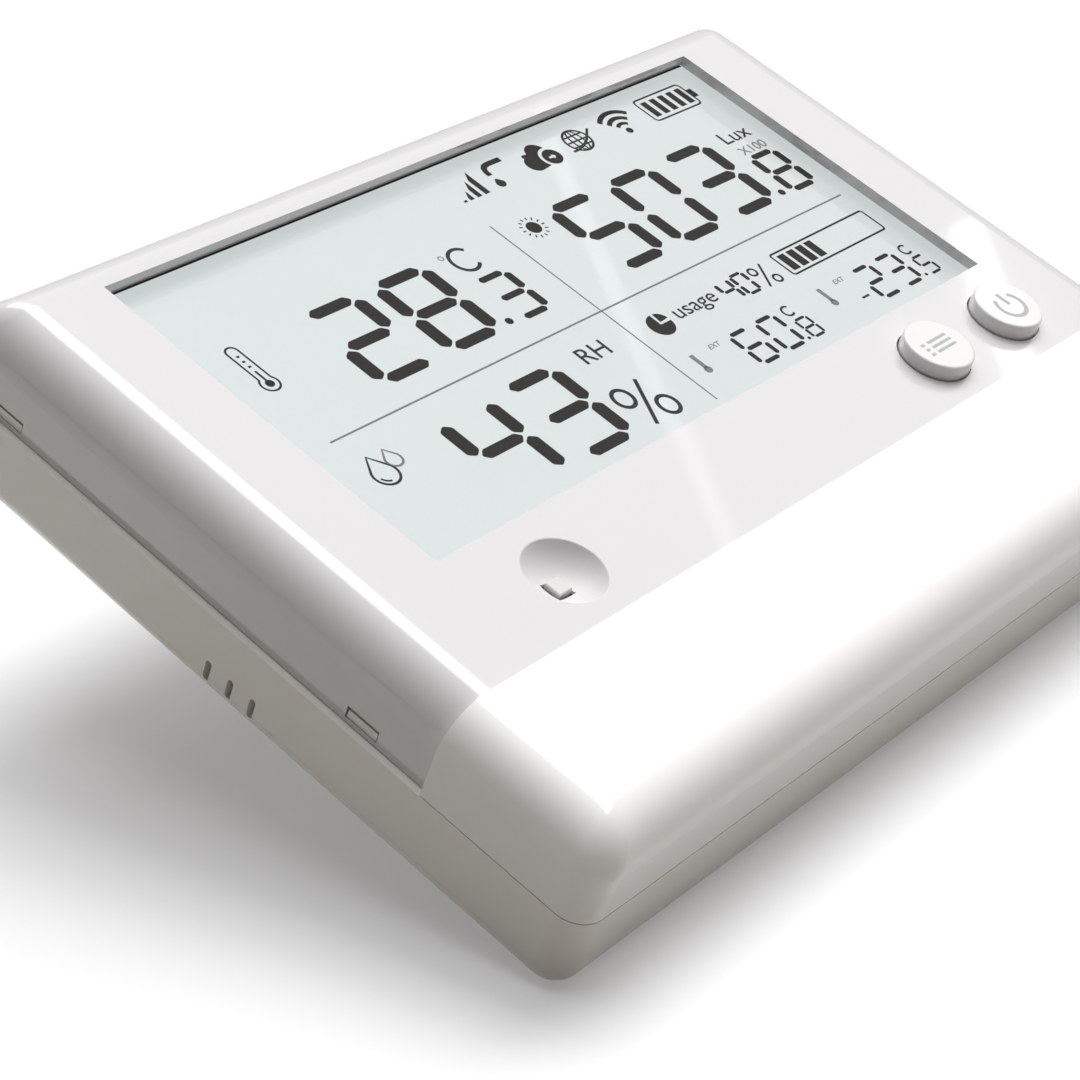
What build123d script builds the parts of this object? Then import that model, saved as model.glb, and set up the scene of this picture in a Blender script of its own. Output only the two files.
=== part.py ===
from build123d import *
import os
from math import cos, radians, sin, sqrt

os.makedirs("parts", exist_ok=True)

# Desk and wall sensor for temperature and humidity, in millimetres.
# Every piece is drawn with the case lying on its back: X across the face, Y up the face,
# Z from the back (0) to the face. The last lines lean the whole thing back on its stand.

# Mouldings
case_depth = 21.0
part_line = 10.0  # height at which the rear shell ends and the front pieces begin
corner_radius = 3.3
face_fillet = 5.5
inner_fillet = 2.4  # the same rounding inside the hollow of the front pieces
back_fillet = 3.0
wall = 2.0
face_skin = 1.4  # thickness of the front cover behind its face
cover_inset = 0.9  # the front cover stands this far inside the rear shell's rim
seam_gap = 0.12  # open line between two mouldings
overrun = 1.0  # how far a cutting tool runs past the face that it cuts
running_gap = 0.3  # room round a piece that moves
seat_gap = 0.1  # room round a piece that is only put in

# The pose on a table: how far the case leans back, and how far the leg is opened
lean_angle = 20.9
leg_open_angle = 80.0

# Battery cells: two rows of two, end to end
cell_radius = 7.25
cell_length = 50.5
cell_nub_radius = 2.75
cell_nub_length = 1.0
cell_rim = 0.8  # rounding of the can's ends
cell_side_gap = 0.25
cell_row_gap = 0.3
contact_room = 2.8  # length at each end for the contact springs

# Battery bay, open at the back, closed by a door
door_thickness = 1.6
door_gap = 0.2
door_ledge = 2.0
bay_floor = 0.9
bay_wall = 1.1
bay_end_wall = 2.6
bay_length = 2 * cell_length + 2 * contact_room
bay_height = 4 * cell_radius + cell_row_gap + 2 * cell_side_gap

# The case is as wide as the bay and its two margins, and as high as the bay, the window above
# it and the border over that. The chin and the row of controls lie over the bay.
bay_margin = 11.7
side_border = 14.6
top_border = 7.3
window_height = 48.3
window_over_bay = 1.9
control_band = 15.0  # from the chin's seam to the window
control_over_seam = 7.0
case_width = bay_length + 2 * bay_margin
window_width = case_width - 2 * side_border
window_rise = wall + bay_height + 2 * bay_wall + window_over_bay
case_height = window_rise + window_height + top_border
chin_height = window_rise - control_band

bottom_y = -case_height / 2
top_y = case_height / 2
right_x = case_width / 2
window_bottom = bottom_y + window_rise
window_top = window_bottom + window_height
window_y = window_bottom + window_height / 2
seam_y = bottom_y + chin_height
control_y = seam_y + control_over_seam
skin_z = case_depth - face_skin
cover_width = case_width - 2 * cover_inset
cover_height = case_height - 2 * cover_inset
inner_x = right_x - wall
cover_inner_x = cover_width / 2 - wall
bay_y = bottom_y + wall + bay_wall + bay_height / 2
bay_ceiling = door_thickness + door_gap + 2 * cell_radius + door_gap
bay_top = bay_ceiling + bay_floor
bay_upper_y = bay_y + bay_height / 2 + bay_wall
row_pitch = 2 * cell_radius + cell_row_gap
cell_z = door_thickness + door_gap + cell_radius
row_rib_width = 1.2
row_rib_height = 3.0

# Fold-out stand: a leg on a pin, lying in a recess in the back when it is shut
leg_width = 40.0
leg_foot_width = 33.0
leg_thickness = 2.6
knuckle_radius = 2.0
heel_height = 1.5  # flat on the knuckle that stops the leg on the end of its recess
heel_gap = 0.05
pin_radius = 1.0
pin_fit = 0.04
pin_grip = 1.6  # how far the pin reaches into each side of the recess
hinge_drop = 12.4  # hinge axis below the case's upper edge, along the back
hinge_cover = 0.6  # depth of the knuckle below the back
recess_depth = 5.0
recess_wall = 1.5
recess_side = 2.4
finger_width = 14.0
finger_reach = 4.5
finger_depth = 2.6
hinge_y = top_y - hinge_drop
hinge_z = knuckle_radius + hinge_cover
leg_mid = knuckle_radius - leg_thickness / 2  # the plate's middle, outside the pin
foot_radius = leg_thickness / 2
lean_turn = radians(lean_angle)
open_turn = radians(leg_open_angle + lean_angle)
hinge_level = hinge_y * sin(lean_turn) + hinge_z * cos(lean_turn)
heel_level = ((bottom_y + back_fillet) * sin(lean_turn)
              + back_fillet * cos(lean_turn) - back_fillet)
# The leg is as long as it must be for its foot and the case's lower edge to stand on one plane
leg_length = (hinge_level - heel_level - foot_radius - leg_mid * cos(open_turn)) / sin(open_turn)
recess_width = leg_width + 2 * running_gap
recess_low = hinge_y - leg_length - foot_radius - running_gap
recess_high = hinge_y + knuckle_radius + running_gap
heel_reach = knuckle_radius + running_gap - heel_gap
recess_y = (recess_low + recess_high) / 2

# Screws and the posts that they hold
screw_radius = 1.25
screw_head_radius = 2.3
screw_head_height = 1.7
screw_length = 10.5
screw_sink = 1.3  # depth of the head below the back
screw_fit = 0.1
post_radius = 2.6
sink_post_radius = 3.6
post_meet = 6.0  # height at which a post of the rear shell meets a post of the front
upper_screw_side = 7.6
upper_screw_drop = 6.0
lower_screw_side = 5.8
lower_screw_rise = 10.0
upper_screw_x = right_x - upper_screw_side
upper_screw_y = top_y - upper_screw_drop
lower_screw_x = right_x - lower_screw_side
lower_screw_y = bottom_y + lower_screw_rise
screw_places = [(-upper_screw_x, upper_screw_y), (upper_screw_x, upper_screw_y),
                (-lower_screw_x, lower_screw_y), (lower_screw_x, lower_screw_y)]

# Main board on four standoffs of the rear shell
board_thickness = 1.6
board_z = 8.6
board_side = 10.8
board_drop = 3.8
board_corner = 1.5
board_half_width = right_x - board_side
board_low = bay_upper_y + running_gap
board_high = top_y - board_drop
board_top = board_z + board_thickness
ear_room = 1.4
ear_margin = 7.0
right_ear_rise = 0.7
standoff_radius = 2.5
standoff_side = 15.0
standoff_rise = 4.2
standoff_drop = 4.7
standoff_x = right_x - standoff_side
standoff_low_y = board_low + standoff_rise
standoff_high_y = board_high - standoff_drop
standoff_places = [(-standoff_x, standoff_low_y), (standoff_x, standoff_low_y),
                   (-standoff_x, standoff_high_y), (standoff_x, standoff_high_y)]
small_screw_radius = 0.9
small_head_radius = 1.8
small_head_height = 1.2
small_screw_length = 4.6

# Keyholes for hanging the case on two screws
keyhole_side = 23.0
keyhole_drop = 19.0
keyhole_radius = 4.0
keyhole_slot = 2.0
keyhole_travel = 7.5
keyhole_x = right_x - keyhole_side
keyhole_y = top_y - keyhole_drop

# Vent slots beside the climate sensor, low in the left side
vent_count = 3
vent_pitch = 3.15
vent_width = 0.8
vent_low = 2.0
vent_high = 4.6
vent_cut = 2.4
vent_over_bay = 11.0
vent_y = bay_upper_y + vent_over_bay

# Sockets in the right side
socket_over_bay = 15.0
socket_pitch = 12.5
socket_width = 8.94
socket_height = 3.26
socket_length = 7.3
socket_sink = 0.9
socket_shell = 0.35
socket_tongue = 0.7
jack_radius = 2.9
jack_bore = 1.8
jack_body = 5.0
jack_width = 6.4
jack_length = 12.0
jack_bore_depth = 10.0
power_socket_y = bay_upper_y + socket_over_bay
jack_y = power_socket_y + socket_pitch
socket_z = board_z - socket_height / 2
jack_z = board_z - jack_body / 2

# The board's ears reach out to the climate sensor on the left and to the sockets on the right
ear_reach = inner_x - ear_room
left_ear_low = vent_y - ear_margin
left_ear_high = vent_y + ear_margin
right_ear_low = board_low + right_ear_rise
right_ear_high = jack_y + jack_width

# Snap catches that show in small windows in the front cover's sides
catch_rise = 29.8
catch_drop = 10.4
catch_window = 4.3
catch_over_rim = 0.55
catch_window_height = 1.5
catch_headroom = 0.5  # open strip of the window above the nib
catch_width = 3.9
catch_thickness = 1.2
catch_nib = 1.95
catch_root = 5.0
catch_places = [bottom_y + catch_rise, top_y - catch_drop]
catch_window_low = part_line + catch_over_rim
catch_window_high = catch_window_low + catch_window_height

with BuildPart() as rear_shell:
    with BuildSketch():
        RectangleRounded(case_width, case_height, corner_radius)
    extrude(amount=part_line)
    fillet(rear_shell.faces().sort_by(Axis.Z)[0].edges(), back_fillet)
    with BuildSketch(Plane.XY.offset(wall)):
        RectangleRounded(case_width - 2 * wall, case_height - 2 * wall, corner_radius - wall)
    extrude(amount=part_line, mode=Mode.SUBTRACT)
    # Battery bay: walls and a floor that stand up behind the chin, with a rib between the rows
    with BuildSketch(Plane.XY.offset(wall)):
        with Locations((0, bay_y)):
            Rectangle(bay_length + 2 * bay_end_wall, bay_height + 2 * bay_wall)
    extrude(amount=bay_top - wall)
    with BuildSketch():
        with Locations((0, bay_y)):
            Rectangle(bay_length, bay_height)
    extrude(amount=bay_ceiling, mode=Mode.SUBTRACT)
    with BuildSketch(Plane.XY.offset(bay_ceiling - row_rib_height)):
        with Locations((0, bay_y)):
            Rectangle(bay_length, row_rib_width)
    extrude(amount=row_rib_height)
    with BuildSketch():
        with Locations((0, bay_y)):
            Rectangle(bay_length + 2 * door_ledge, bay_height)
    extrude(amount=door_thickness, mode=Mode.SUBTRACT)
    # Recess for the leg, with a scoop for a fingertip at its lower end: first the walls of
    # both, and then their hollows
    with BuildSketch():
        with Locations((0, recess_low)):
            SlotCenterToCenter(finger_width - finger_reach, 2 * finger_reach)
    extrude(amount=finger_depth + recess_wall)
    with BuildSketch():
        with Locations((0, recess_y)):
            Rectangle(recess_width + 2 * recess_side, recess_high - recess_low + 2 * recess_wall)
    extrude(amount=recess_depth + recess_wall)
    with BuildSketch():
        with Locations((0, recess_y)):
            Rectangle(recess_width, recess_high - recess_low)
    extrude(amount=recess_depth, mode=Mode.SUBTRACT)
    with BuildSketch():
        with Locations((0, recess_low)):
            SlotCenterToCenter(finger_width - 2 * finger_reach + 2 * recess_wall,
                               2 * (finger_reach - recess_wall))
    extrude(amount=finger_depth, mode=Mode.SUBTRACT)
    with BuildSketch(Plane.YZ.offset(-recess_width / 2 - pin_grip)):
        with Locations((hinge_y, hinge_z)):
            Circle(pin_radius + pin_fit)
    extrude(amount=recess_width + 2 * pin_grip, mode=Mode.SUBTRACT)
    # Posts for the case screws and standoffs for the main board
    with BuildSketch(Plane.XY.offset(wall)):
        with Locations(*screw_places):
            Circle(sink_post_radius)
    extrude(amount=post_meet - wall)
    with BuildSketch(Plane.XY.offset(wall)):
        with Locations(*standoff_places):
            Circle(standoff_radius)
    extrude(amount=board_z - wall)
    with BuildSketch():
        with Locations(*screw_places):
            Circle(screw_head_radius + screw_fit)
    extrude(amount=screw_sink + screw_head_height, mode=Mode.SUBTRACT)
    with BuildSketch():
        with Locations(*screw_places):
            Circle(screw_radius + screw_fit)
    extrude(amount=post_meet, mode=Mode.SUBTRACT)
    with BuildSketch(Plane.XY.offset(board_top - small_screw_length)):
        with Locations(*standoff_places):
            Circle(small_screw_radius + screw_fit)
    extrude(amount=small_screw_length, mode=Mode.SUBTRACT)
    # Keyholes: a round hole for the screw's head and a slot above it for the neck
    with BuildSketch():
        with Locations((-keyhole_x, keyhole_y), (keyhole_x, keyhole_y)):
            Circle(keyhole_radius)
        with Locations((-keyhole_x, keyhole_y + keyhole_travel / 2),
                       (keyhole_x, keyhole_y + keyhole_travel / 2)):
            SlotCenterToCenter(keyhole_travel, 2 * keyhole_slot, rotation=90)
    extrude(amount=wall, mode=Mode.SUBTRACT)
    # Vent slots
    with BuildSketch(Plane.YZ.offset(-right_x - overrun)):
        with Locations((vent_y, (vent_low + vent_high) / 2)):
            with GridLocations(vent_pitch, vent_pitch, vent_count, 1):
                SlotOverall(vent_high - vent_low, vent_width, rotation=90)
    extrude(amount=overrun + vent_cut, mode=Mode.SUBTRACT)
    # Openings for the two sockets
    with BuildSketch(Plane.YZ.offset(inner_x - overrun)):
        with Locations((power_socket_y, socket_z)):
            SlotOverall(socket_width + 2 * seam_gap, socket_height + 2 * seam_gap)
        with Locations((jack_y, jack_z)):
            Circle(jack_radius + seam_gap)
    extrude(amount=wall + 2 * overrun, mode=Mode.SUBTRACT)
    # Catches: a root on the shell's wall, a tongue inside the front cover, a nib in its window
    for side in (-1, 1):
        with BuildSketch(Plane.XY.offset(catch_root)):
            with Locations(*[(side * (cover_inner_x - seat_gap - catch_thickness / 2), y)
                             for y in catch_places]):
                Rectangle(catch_thickness, catch_width)
        extrude(amount=catch_window_high - catch_headroom - catch_root)
        with BuildSketch(Plane.XY.offset(catch_root)):
            with Locations(*[(side * (cover_inner_x + inner_x) / 2, y) for y in catch_places]):
                Rectangle(inner_x - cover_inner_x + 2 * seat_gap, catch_width)
        extrude(amount=part_line - seat_gap - catch_root)
        with BuildSketch(Plane.XY.offset(catch_window_low + seat_gap)):
            with Locations(*[(side * (cover_inner_x + catch_nib / 2 - seat_gap), y)
                             for y in catch_places]):
                Rectangle(catch_nib, catch_width)
        extrude(amount=catch_window_height - catch_headroom - seat_gap)

# Light dish: a shallow bowl in the face with a square hole at its bottom
dish_side = 25.35
dish_radius = 4.65
dish_depth = 2.35
dish_wall = 0.4
dish_lip = 0.2  # rounding of the dish's rim
dish_hole = 2.7
guide_side = 2.0
guide_sink = 1.5  # depth of the light guide's top below the face
guide_shift_x = 0.65  # how far the guide stands off the dish's middle
guide_shift_y = 0.35
dish_x = dish_side - right_x
guide_x = dish_x - guide_shift_x
guide_y = control_y - guide_shift_y

# Buttons
button_radius = 4.4
menu_side = 36.3
power_side = 20.9
button_rise = 1.9
button_travel = 0.4
button_stop_gap = 0.05  # room left above the spring dome when a button is pressed
button_side_gap = 0.2
button_edge = 0.35
flange_radius = 5.3
flange_thickness = 0.6
menu_x = right_x - menu_side
power_x = right_x - power_side
flange_z = skin_z - flange_thickness - 0.5 * seat_gap

# The joint under the chin
tongue_reach = 5.0
tongue_root = 1.6
tongue_thickness = 1.1
clamp_post_radius = 1.8
clamp_post_side = 6.4
clamp_post_rise = 11.6
clamp_post_drop = 8.7
clamp_thickness = 1.5
clamp_post_x = window_width / 2 + clamp_post_side
clamp_post_low_y = window_bottom + clamp_post_rise
clamp_post_high_y = window_top - clamp_post_drop

# The display stack, from the front: lens, display cell, light panel, clamp frame
lens_lap = 1.6
lens_thickness = 1.0
cell_lap_x = 3.1
cell_lap_low = 1.8
cell_lap_high = 2.4
display_thickness = 1.8
panel_thickness = 1.2
lens_z = skin_z - lens_thickness
display_z = lens_z - seat_gap - display_thickness
panel_z = display_z - seat_gap - panel_thickness
clamp_z = panel_z - seat_gap - clamp_thickness
display_low = window_bottom - cell_lap_low
display_high = window_top + cell_lap_high
display_y = (display_low + display_high) / 2
clamp_places = [(-clamp_post_x, clamp_post_low_y), (clamp_post_x, clamp_post_low_y),
                (-clamp_post_x, clamp_post_high_y), (clamp_post_x, clamp_post_high_y)]

# The hollow of the front cover, and the bowl that cuts the dish, made apart
with BuildPart() as cover_hollow:
    with BuildSketch():
        RectangleRounded(cover_width - 2 * wall, cover_height - 2 * wall, corner_radius - wall)
    extrude(amount=skin_z)
    fillet(cover_hollow.faces().sort_by(Axis.Z)[-1].edges(), inner_fillet)

bowl_radius = (dish_radius ** 2 + dish_depth ** 2) / (2 * dish_depth)
bowl_z = case_depth - dish_depth + bowl_radius

with BuildPart() as front_cover:
    with BuildSketch(Plane.XY.offset(part_line + seam_gap)):
        RectangleRounded(cover_width, cover_height, corner_radius)
    extrude(amount=case_depth - part_line - seam_gap)
    fillet(front_cover.faces().sort_by(Axis.Z)[-1].edges(), face_fillet)
    add(cover_hollow.part, mode=Mode.SUBTRACT)
    # Only the part above the chin's seam is kept, with a tongue that runs under the chin
    with BuildSketch():
        with Locations((0, (bottom_y + seam_y) / 2)):
            Rectangle(case_width, chin_height)
    extrude(amount=case_depth, mode=Mode.SUBTRACT)
    with BuildSketch(Plane.XY.offset(skin_z - tongue_thickness)):
        with Locations((0, seam_y + (tongue_root - tongue_reach) / 2)):
            Rectangle(2 * (cover_inner_x - face_fillet), tongue_reach + tongue_root)
    extrude(amount=tongue_thickness)
    # Display window and the windows for the catches
    with BuildSketch(Plane.XY.offset(skin_z - overrun)):
        with Locations((0, window_y)):
            Rectangle(window_width, window_height)
    extrude(amount=face_skin + 2 * overrun, mode=Mode.SUBTRACT)
    for side in (-1, 1):
        with BuildSketch(Plane.YZ.offset(side * cover_width / 2)):
            with Locations(*[(y, (catch_window_low + catch_window_high) / 2)
                             for y in catch_places]):
                Rectangle(catch_window, catch_window_high - catch_window_low)
        extrude(amount=wall + seat_gap, both=True, mode=Mode.SUBTRACT)
    # Posts for the two upper case screws and for the display clamp
    with BuildSketch(Plane.XY.offset(post_meet + seat_gap)):
        with Locations(*screw_places[:2]):
            Circle(post_radius)
    extrude(amount=skin_z - post_meet - seat_gap)
    with BuildSketch(Plane.XY.offset(clamp_z + clamp_thickness)):
        with Locations(*clamp_places):
            Circle(clamp_post_radius)
    extrude(amount=skin_z - clamp_z - clamp_thickness)
    with BuildSketch(Plane.XY.offset(post_meet)):
        with Locations(*screw_places[:2]):
            Circle(screw_radius + seat_gap)
    extrude(amount=screw_length - post_meet + screw_sink + screw_head_height,
            mode=Mode.SUBTRACT)
    with BuildSketch(Plane.XY.offset(clamp_z)):
        with Locations(*clamp_places):
            Circle(small_screw_radius + seat_gap)
    extrude(amount=small_screw_length, mode=Mode.SUBTRACT)
    # Light dish: the bowl's outer shell is put on first, then the bowl and its hole are cut
    with BuildSketch(Plane.XZ.offset(-control_y)):
        with BuildLine():
            bowl_outer = bowl_radius + dish_wall
            lip_half = sqrt(bowl_outer ** 2 - (bowl_z - skin_z) ** 2)
            Line((dish_x, bowl_z - bowl_outer), (dish_x, skin_z))
            Line((dish_x, skin_z), (dish_x + lip_half, skin_z))
            RadiusArc((dish_x + lip_half, skin_z), (dish_x, bowl_z - bowl_outer), bowl_outer)
        make_face()
    revolve(axis=Axis((dish_x, control_y, 0), (0, 0, 1)))
    with BuildSketch(Plane.XZ.offset(-control_y)):
        with BuildLine():
            Line((dish_x, case_depth - dish_depth), (dish_x, case_depth))
            Line((dish_x, case_depth), (dish_x + dish_radius, case_depth))
            RadiusArc((dish_x + dish_radius, case_depth), (dish_x, case_depth - dish_depth),
                      bowl_radius)
        make_face()
    revolve(axis=Axis((dish_x, control_y, 0), (0, 0, 1)), mode=Mode.SUBTRACT)
    with BuildSketch(Plane.XY.offset(skin_z - 2 * overrun)):
        with Locations((guide_x, guide_y)):
            Rectangle(dish_hole, dish_hole)
    extrude(amount=2 * overrun + face_skin, mode=Mode.SUBTRACT)
    rim_edges = front_cover.edges().filter_by(GeomType.CIRCLE).group_by(Axis.Z)[-1]
    fillet(rim_edges.sort_by(SortBy.RADIUS)[-1], dish_lip)
    # Button holes
    with BuildSketch(Plane.XY.offset(skin_z - overrun)):
        with Locations((menu_x, control_y), (power_x, control_y)):
            Circle(button_radius + button_side_gap)
    extrude(amount=face_skin + 2 * overrun, mode=Mode.SUBTRACT)

# The chin: a separate cap that wraps the lower edge and both lower corners
chin_rise = 0.2
chin_skin = 1.5
chin_wall = 1.8

with BuildPart() as chin_hollow:
    with BuildSketch():
        RectangleRounded(case_width - 2 * chin_wall, case_height - 2 * chin_wall,
                         corner_radius - chin_wall)
    extrude(amount=case_depth + chin_rise - chin_skin)
    fillet(chin_hollow.faces().sort_by(Axis.Z)[-1].edges(), inner_fillet)

with BuildPart() as chin_cover:
    with BuildSketch(Plane.XY.offset(part_line + seam_gap)):
        RectangleRounded(case_width, case_height, corner_radius)
    extrude(amount=case_depth + chin_rise - part_line - seam_gap)
    fillet(chin_cover.faces().sort_by(Axis.Z)[-1].edges(), face_fillet)
    add(chin_hollow.part, mode=Mode.SUBTRACT)
    with BuildSketch():
        with Locations((0, (seam_y - seam_gap + top_y + overrun) / 2)):
            Rectangle(case_width + overrun, top_y + overrun - seam_y + seam_gap)
    extrude(amount=case_depth + overrun, mode=Mode.SUBTRACT)
    with BuildSketch(Plane.XY.offset(post_meet + seat_gap)):
        with Locations(*screw_places[2:]):
            Circle(post_radius)
    extrude(amount=case_depth + chin_rise - chin_skin / 2 - post_meet - seat_gap)
    with BuildSketch(Plane.XY.offset(post_meet)):
        with Locations(*screw_places[2:]):
            Circle(screw_radius + seat_gap)
    extrude(amount=screw_length - post_meet + screw_sink + screw_head_height,
            mode=Mode.SUBTRACT)

with BuildPart() as display_lens:
    with BuildSketch(Plane.XY.offset(lens_z)):
        with Locations((0, window_y)):
            Rectangle(window_width + 2 * lens_lap, window_height + 2 * lens_lap)
    extrude(amount=lens_thickness)
    chamfer(display_lens.edges().filter_by(Axis.Z), lens_thickness / 2)

# The display cell is two bonded sheets of glass; the front one is longer at the top, where
# the cable is bonded behind it
display_step = display_thickness / 2
with BuildPart() as lcd_glass:
    with BuildSketch(Plane.XY.offset(display_z)):
        with Locations((0, display_y)):
            Rectangle(window_width + 2 * cell_lap_x, display_high - display_low)
    extrude(amount=display_thickness)
    with BuildSketch(Plane.XY.offset(display_z)):
        with Locations((0, display_high)):
            Rectangle(window_width + 2 * cell_lap_x, cell_lap_high)
    extrude(amount=display_step, mode=Mode.SUBTRACT)

panel_lap_x = 2.4
panel_high = window_top + 0.5 * panel_lap_x
with BuildPart() as light_panel:
    with BuildSketch(Plane.XY.offset(panel_z)):
        with Locations((0, (display_low + panel_high) / 2)):
            Rectangle(window_width + 2 * panel_lap_x, panel_high - display_low)
    extrude(amount=panel_thickness)
    fillet(light_panel.edges().filter_by(Axis.Z), panel_thickness)

# Clamp frame: an open plate behind the display, held to the front cover by four ears
clamp_rail = 5.0
ear_radius = 3.0
with BuildPart() as display_clamp:
    with BuildSketch(Plane.XY.offset(clamp_z)):
        with Locations((0, (display_low + panel_high) / 2)):
            Rectangle(window_width + 2 * panel_lap_x, panel_high - display_low)
        for x, y in clamp_places:
            with Locations((x, y)):
                Circle(ear_radius)
            with Locations(((x + (window_width / 2 if x > 0 else -window_width / 2)) / 2, y)):
                Rectangle(abs(x) - window_width / 2, 2 * ear_radius)
        with Locations((0, (display_low + panel_high) / 2)):
            Rectangle(window_width + 2 * panel_lap_x - 2 * clamp_rail,
                      panel_high - display_low - 2 * clamp_rail, mode=Mode.SUBTRACT)
        with Locations(*clamp_places):
            Circle(small_screw_radius + screw_fit, mode=Mode.SUBTRACT)
    extrude(amount=clamp_thickness)

with BuildPart() as main_board:
    with BuildSketch(Plane.XY.offset(board_z)):
        with Locations((0, (board_low + board_high) / 2)):
            RectangleRounded(2 * board_half_width, board_high - board_low, board_corner)
        with Locations((-ear_reach / 2, (left_ear_low + left_ear_high) / 2)):
            Rectangle(ear_reach, left_ear_high - left_ear_low)
        with Locations((ear_reach / 2, (right_ear_low + right_ear_high) / 2)):
            Rectangle(ear_reach, right_ear_high - right_ear_low)
        with Locations(*standoff_places):
            Circle(small_screw_radius + screw_fit, mode=Mode.SUBTRACT)
    extrude(amount=board_thickness)

# Parts soldered to the main board
module_width = 18.0
module_length = 24.0
module_height = 2.4
module_side = 13.0
module_rise = 19.7
module_x = module_side - standoff_x
module_y = board_low + module_rise
module_shield_edge = 0.4
with BuildPart() as radio_module:
    with BuildSketch(Plane.XY.offset(board_z - module_height)):
        with Locations((module_x, module_y)):
            RectangleRounded(module_width, module_length, module_shield_edge)
    extrude(amount=module_height)
    chamfer(radio_module.faces().sort_by(Axis.Z)[0].edges(), module_shield_edge)

chip_side = 10.0
chip_height = 1.2
chip_rise = 25.7
chip_y = board_low + chip_rise
with BuildPart() as controller_chip:
    with BuildSketch(Plane.XY.offset(board_top)):
        with Locations((0, chip_y)):
            Rectangle(chip_side, chip_side)
    extrude(amount=chip_height)
    chamfer(controller_chip.faces().sort_by(Axis.Z)[-1].edges(), chip_height / 4)

buzzer_radius = 6.0
buzzer_height = 4.2
buzzer_port = 1.2
buzzer_side = 12.0
buzzer_rise = 15.7
buzzer_x = standoff_x - buzzer_side
buzzer_y = board_low + buzzer_rise
with BuildPart() as buzzer:
    with BuildSketch(Plane.XY.offset(board_z - buzzer_height)):
        with Locations((buzzer_x, buzzer_y)):
            Circle(buzzer_radius)
    extrude(amount=buzzer_height)
    chamfer(buzzer.faces().sort_by(Axis.Z)[0].edges(), buzzer_port / 2)
    with BuildSketch(Plane.XY.offset(board_z - buzzer_height)):
        with Locations((buzzer_x, buzzer_y)):
            Circle(buzzer_port)
    extrude(amount=buzzer_height / 2, mode=Mode.SUBTRACT)

# Power socket: a pressed shell, closed at the back, with a tongue in its mouth
socket_mouth = right_x - socket_sink
with BuildPart() as power_socket:
    with BuildSketch(Plane.YZ.offset(socket_mouth - socket_length)):
        with Locations((power_socket_y, socket_z)):
            SlotOverall(socket_width, socket_height)
    extrude(amount=socket_length)
    with BuildSketch(Plane.YZ.offset(socket_mouth - 0.8 * socket_length)):
        with Locations((power_socket_y, socket_z)):
            SlotOverall(socket_width - 2 * socket_shell, socket_height - 2 * socket_shell)
    extrude(amount=socket_length, mode=Mode.SUBTRACT)
    with BuildSketch(Plane.YZ.offset(socket_mouth - 0.85 * socket_length)):
        with Locations((power_socket_y, socket_z)):
            Rectangle(0.75 * socket_width, socket_tongue)
    extrude(amount=0.75 * socket_length)

# Probe jack: a moulded body with a round collar that shows in the side of the case
with BuildPart() as probe_jack:
    with BuildSketch(Plane.YZ.offset(inner_x - seat_gap)):
        with Locations((jack_y, jack_z)):
            Rectangle(jack_width, jack_body)
    extrude(amount=-jack_length)
    with BuildSketch(Plane.YZ.offset(inner_x - seat_gap)):
        with Locations((jack_y, jack_z)):
            Circle(jack_radius - seat_gap)
    extrude(amount=wall + seat_gap - socket_sink)
    with BuildSketch(Plane.YZ.offset(right_x - socket_sink)):
        with Locations((jack_y, jack_z)):
            Circle(jack_bore)
    extrude(amount=-jack_bore_depth, mode=Mode.SUBTRACT)

# Climate sensor: a small upright board behind the vent slots, with the sensor on its face
sensor_board_side = 2.2
sensor_board_x = sensor_board_side - inner_x
sensor_board_thickness = 1.0
sensor_board_width = 11.0
sensor_chip_side = 3.0
sensor_chip_height = 0.9
sensor_chip_z = 4.2
with BuildPart() as sensor_board:
    with BuildSketch(Plane.YZ.offset(sensor_board_x)):
        with Locations((vent_y, (wall + board_z) / 2)):
            Rectangle(sensor_board_width, board_z - wall)
    extrude(amount=sensor_board_thickness)

with BuildPart() as climate_sensor:
    with BuildSketch(Plane.YZ.offset(sensor_board_x)):
        with Locations((vent_y, sensor_chip_z)):
            Rectangle(sensor_chip_side, sensor_chip_side)
    extrude(amount=-sensor_chip_height)
    with BuildSketch(Plane.YZ.offset(sensor_board_x - sensor_chip_height)):
        with Locations((vent_y, sensor_chip_z)):
            Circle(sensor_chip_side / 4)
    extrude(amount=sensor_chip_height / 2, mode=Mode.SUBTRACT)

# Button board on the bay's floor, with a spring dome under each button
button_board_thickness = 0.8
button_board_margin = 1.1
button_board_side = 19.0
button_board_left = button_board_side - right_x
cable_strip_width = 3.7
button_board_low = seam_y + button_board_margin
button_board_high = bay_upper_y + seat_gap
cable_strip_low = button_board_high - cable_strip_width
button_board_z = bay_top
dome_radius = 2.6
with BuildPart() as button_board:
    with BuildSketch(Plane.XY.offset(button_board_z)):
        with Locations(((button_board_left + board_half_width) / 2,
                        (button_board_low + button_board_high) / 2)):
            Rectangle(board_half_width - button_board_left,
                      button_board_high - button_board_low)
        with Locations(((board_half_width + ear_reach) / 2,
                        (cable_strip_low + button_board_high) / 2)):
            Rectangle(ear_reach - board_half_width, cable_strip_width)
    extrude(amount=button_board_thickness)

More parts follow.
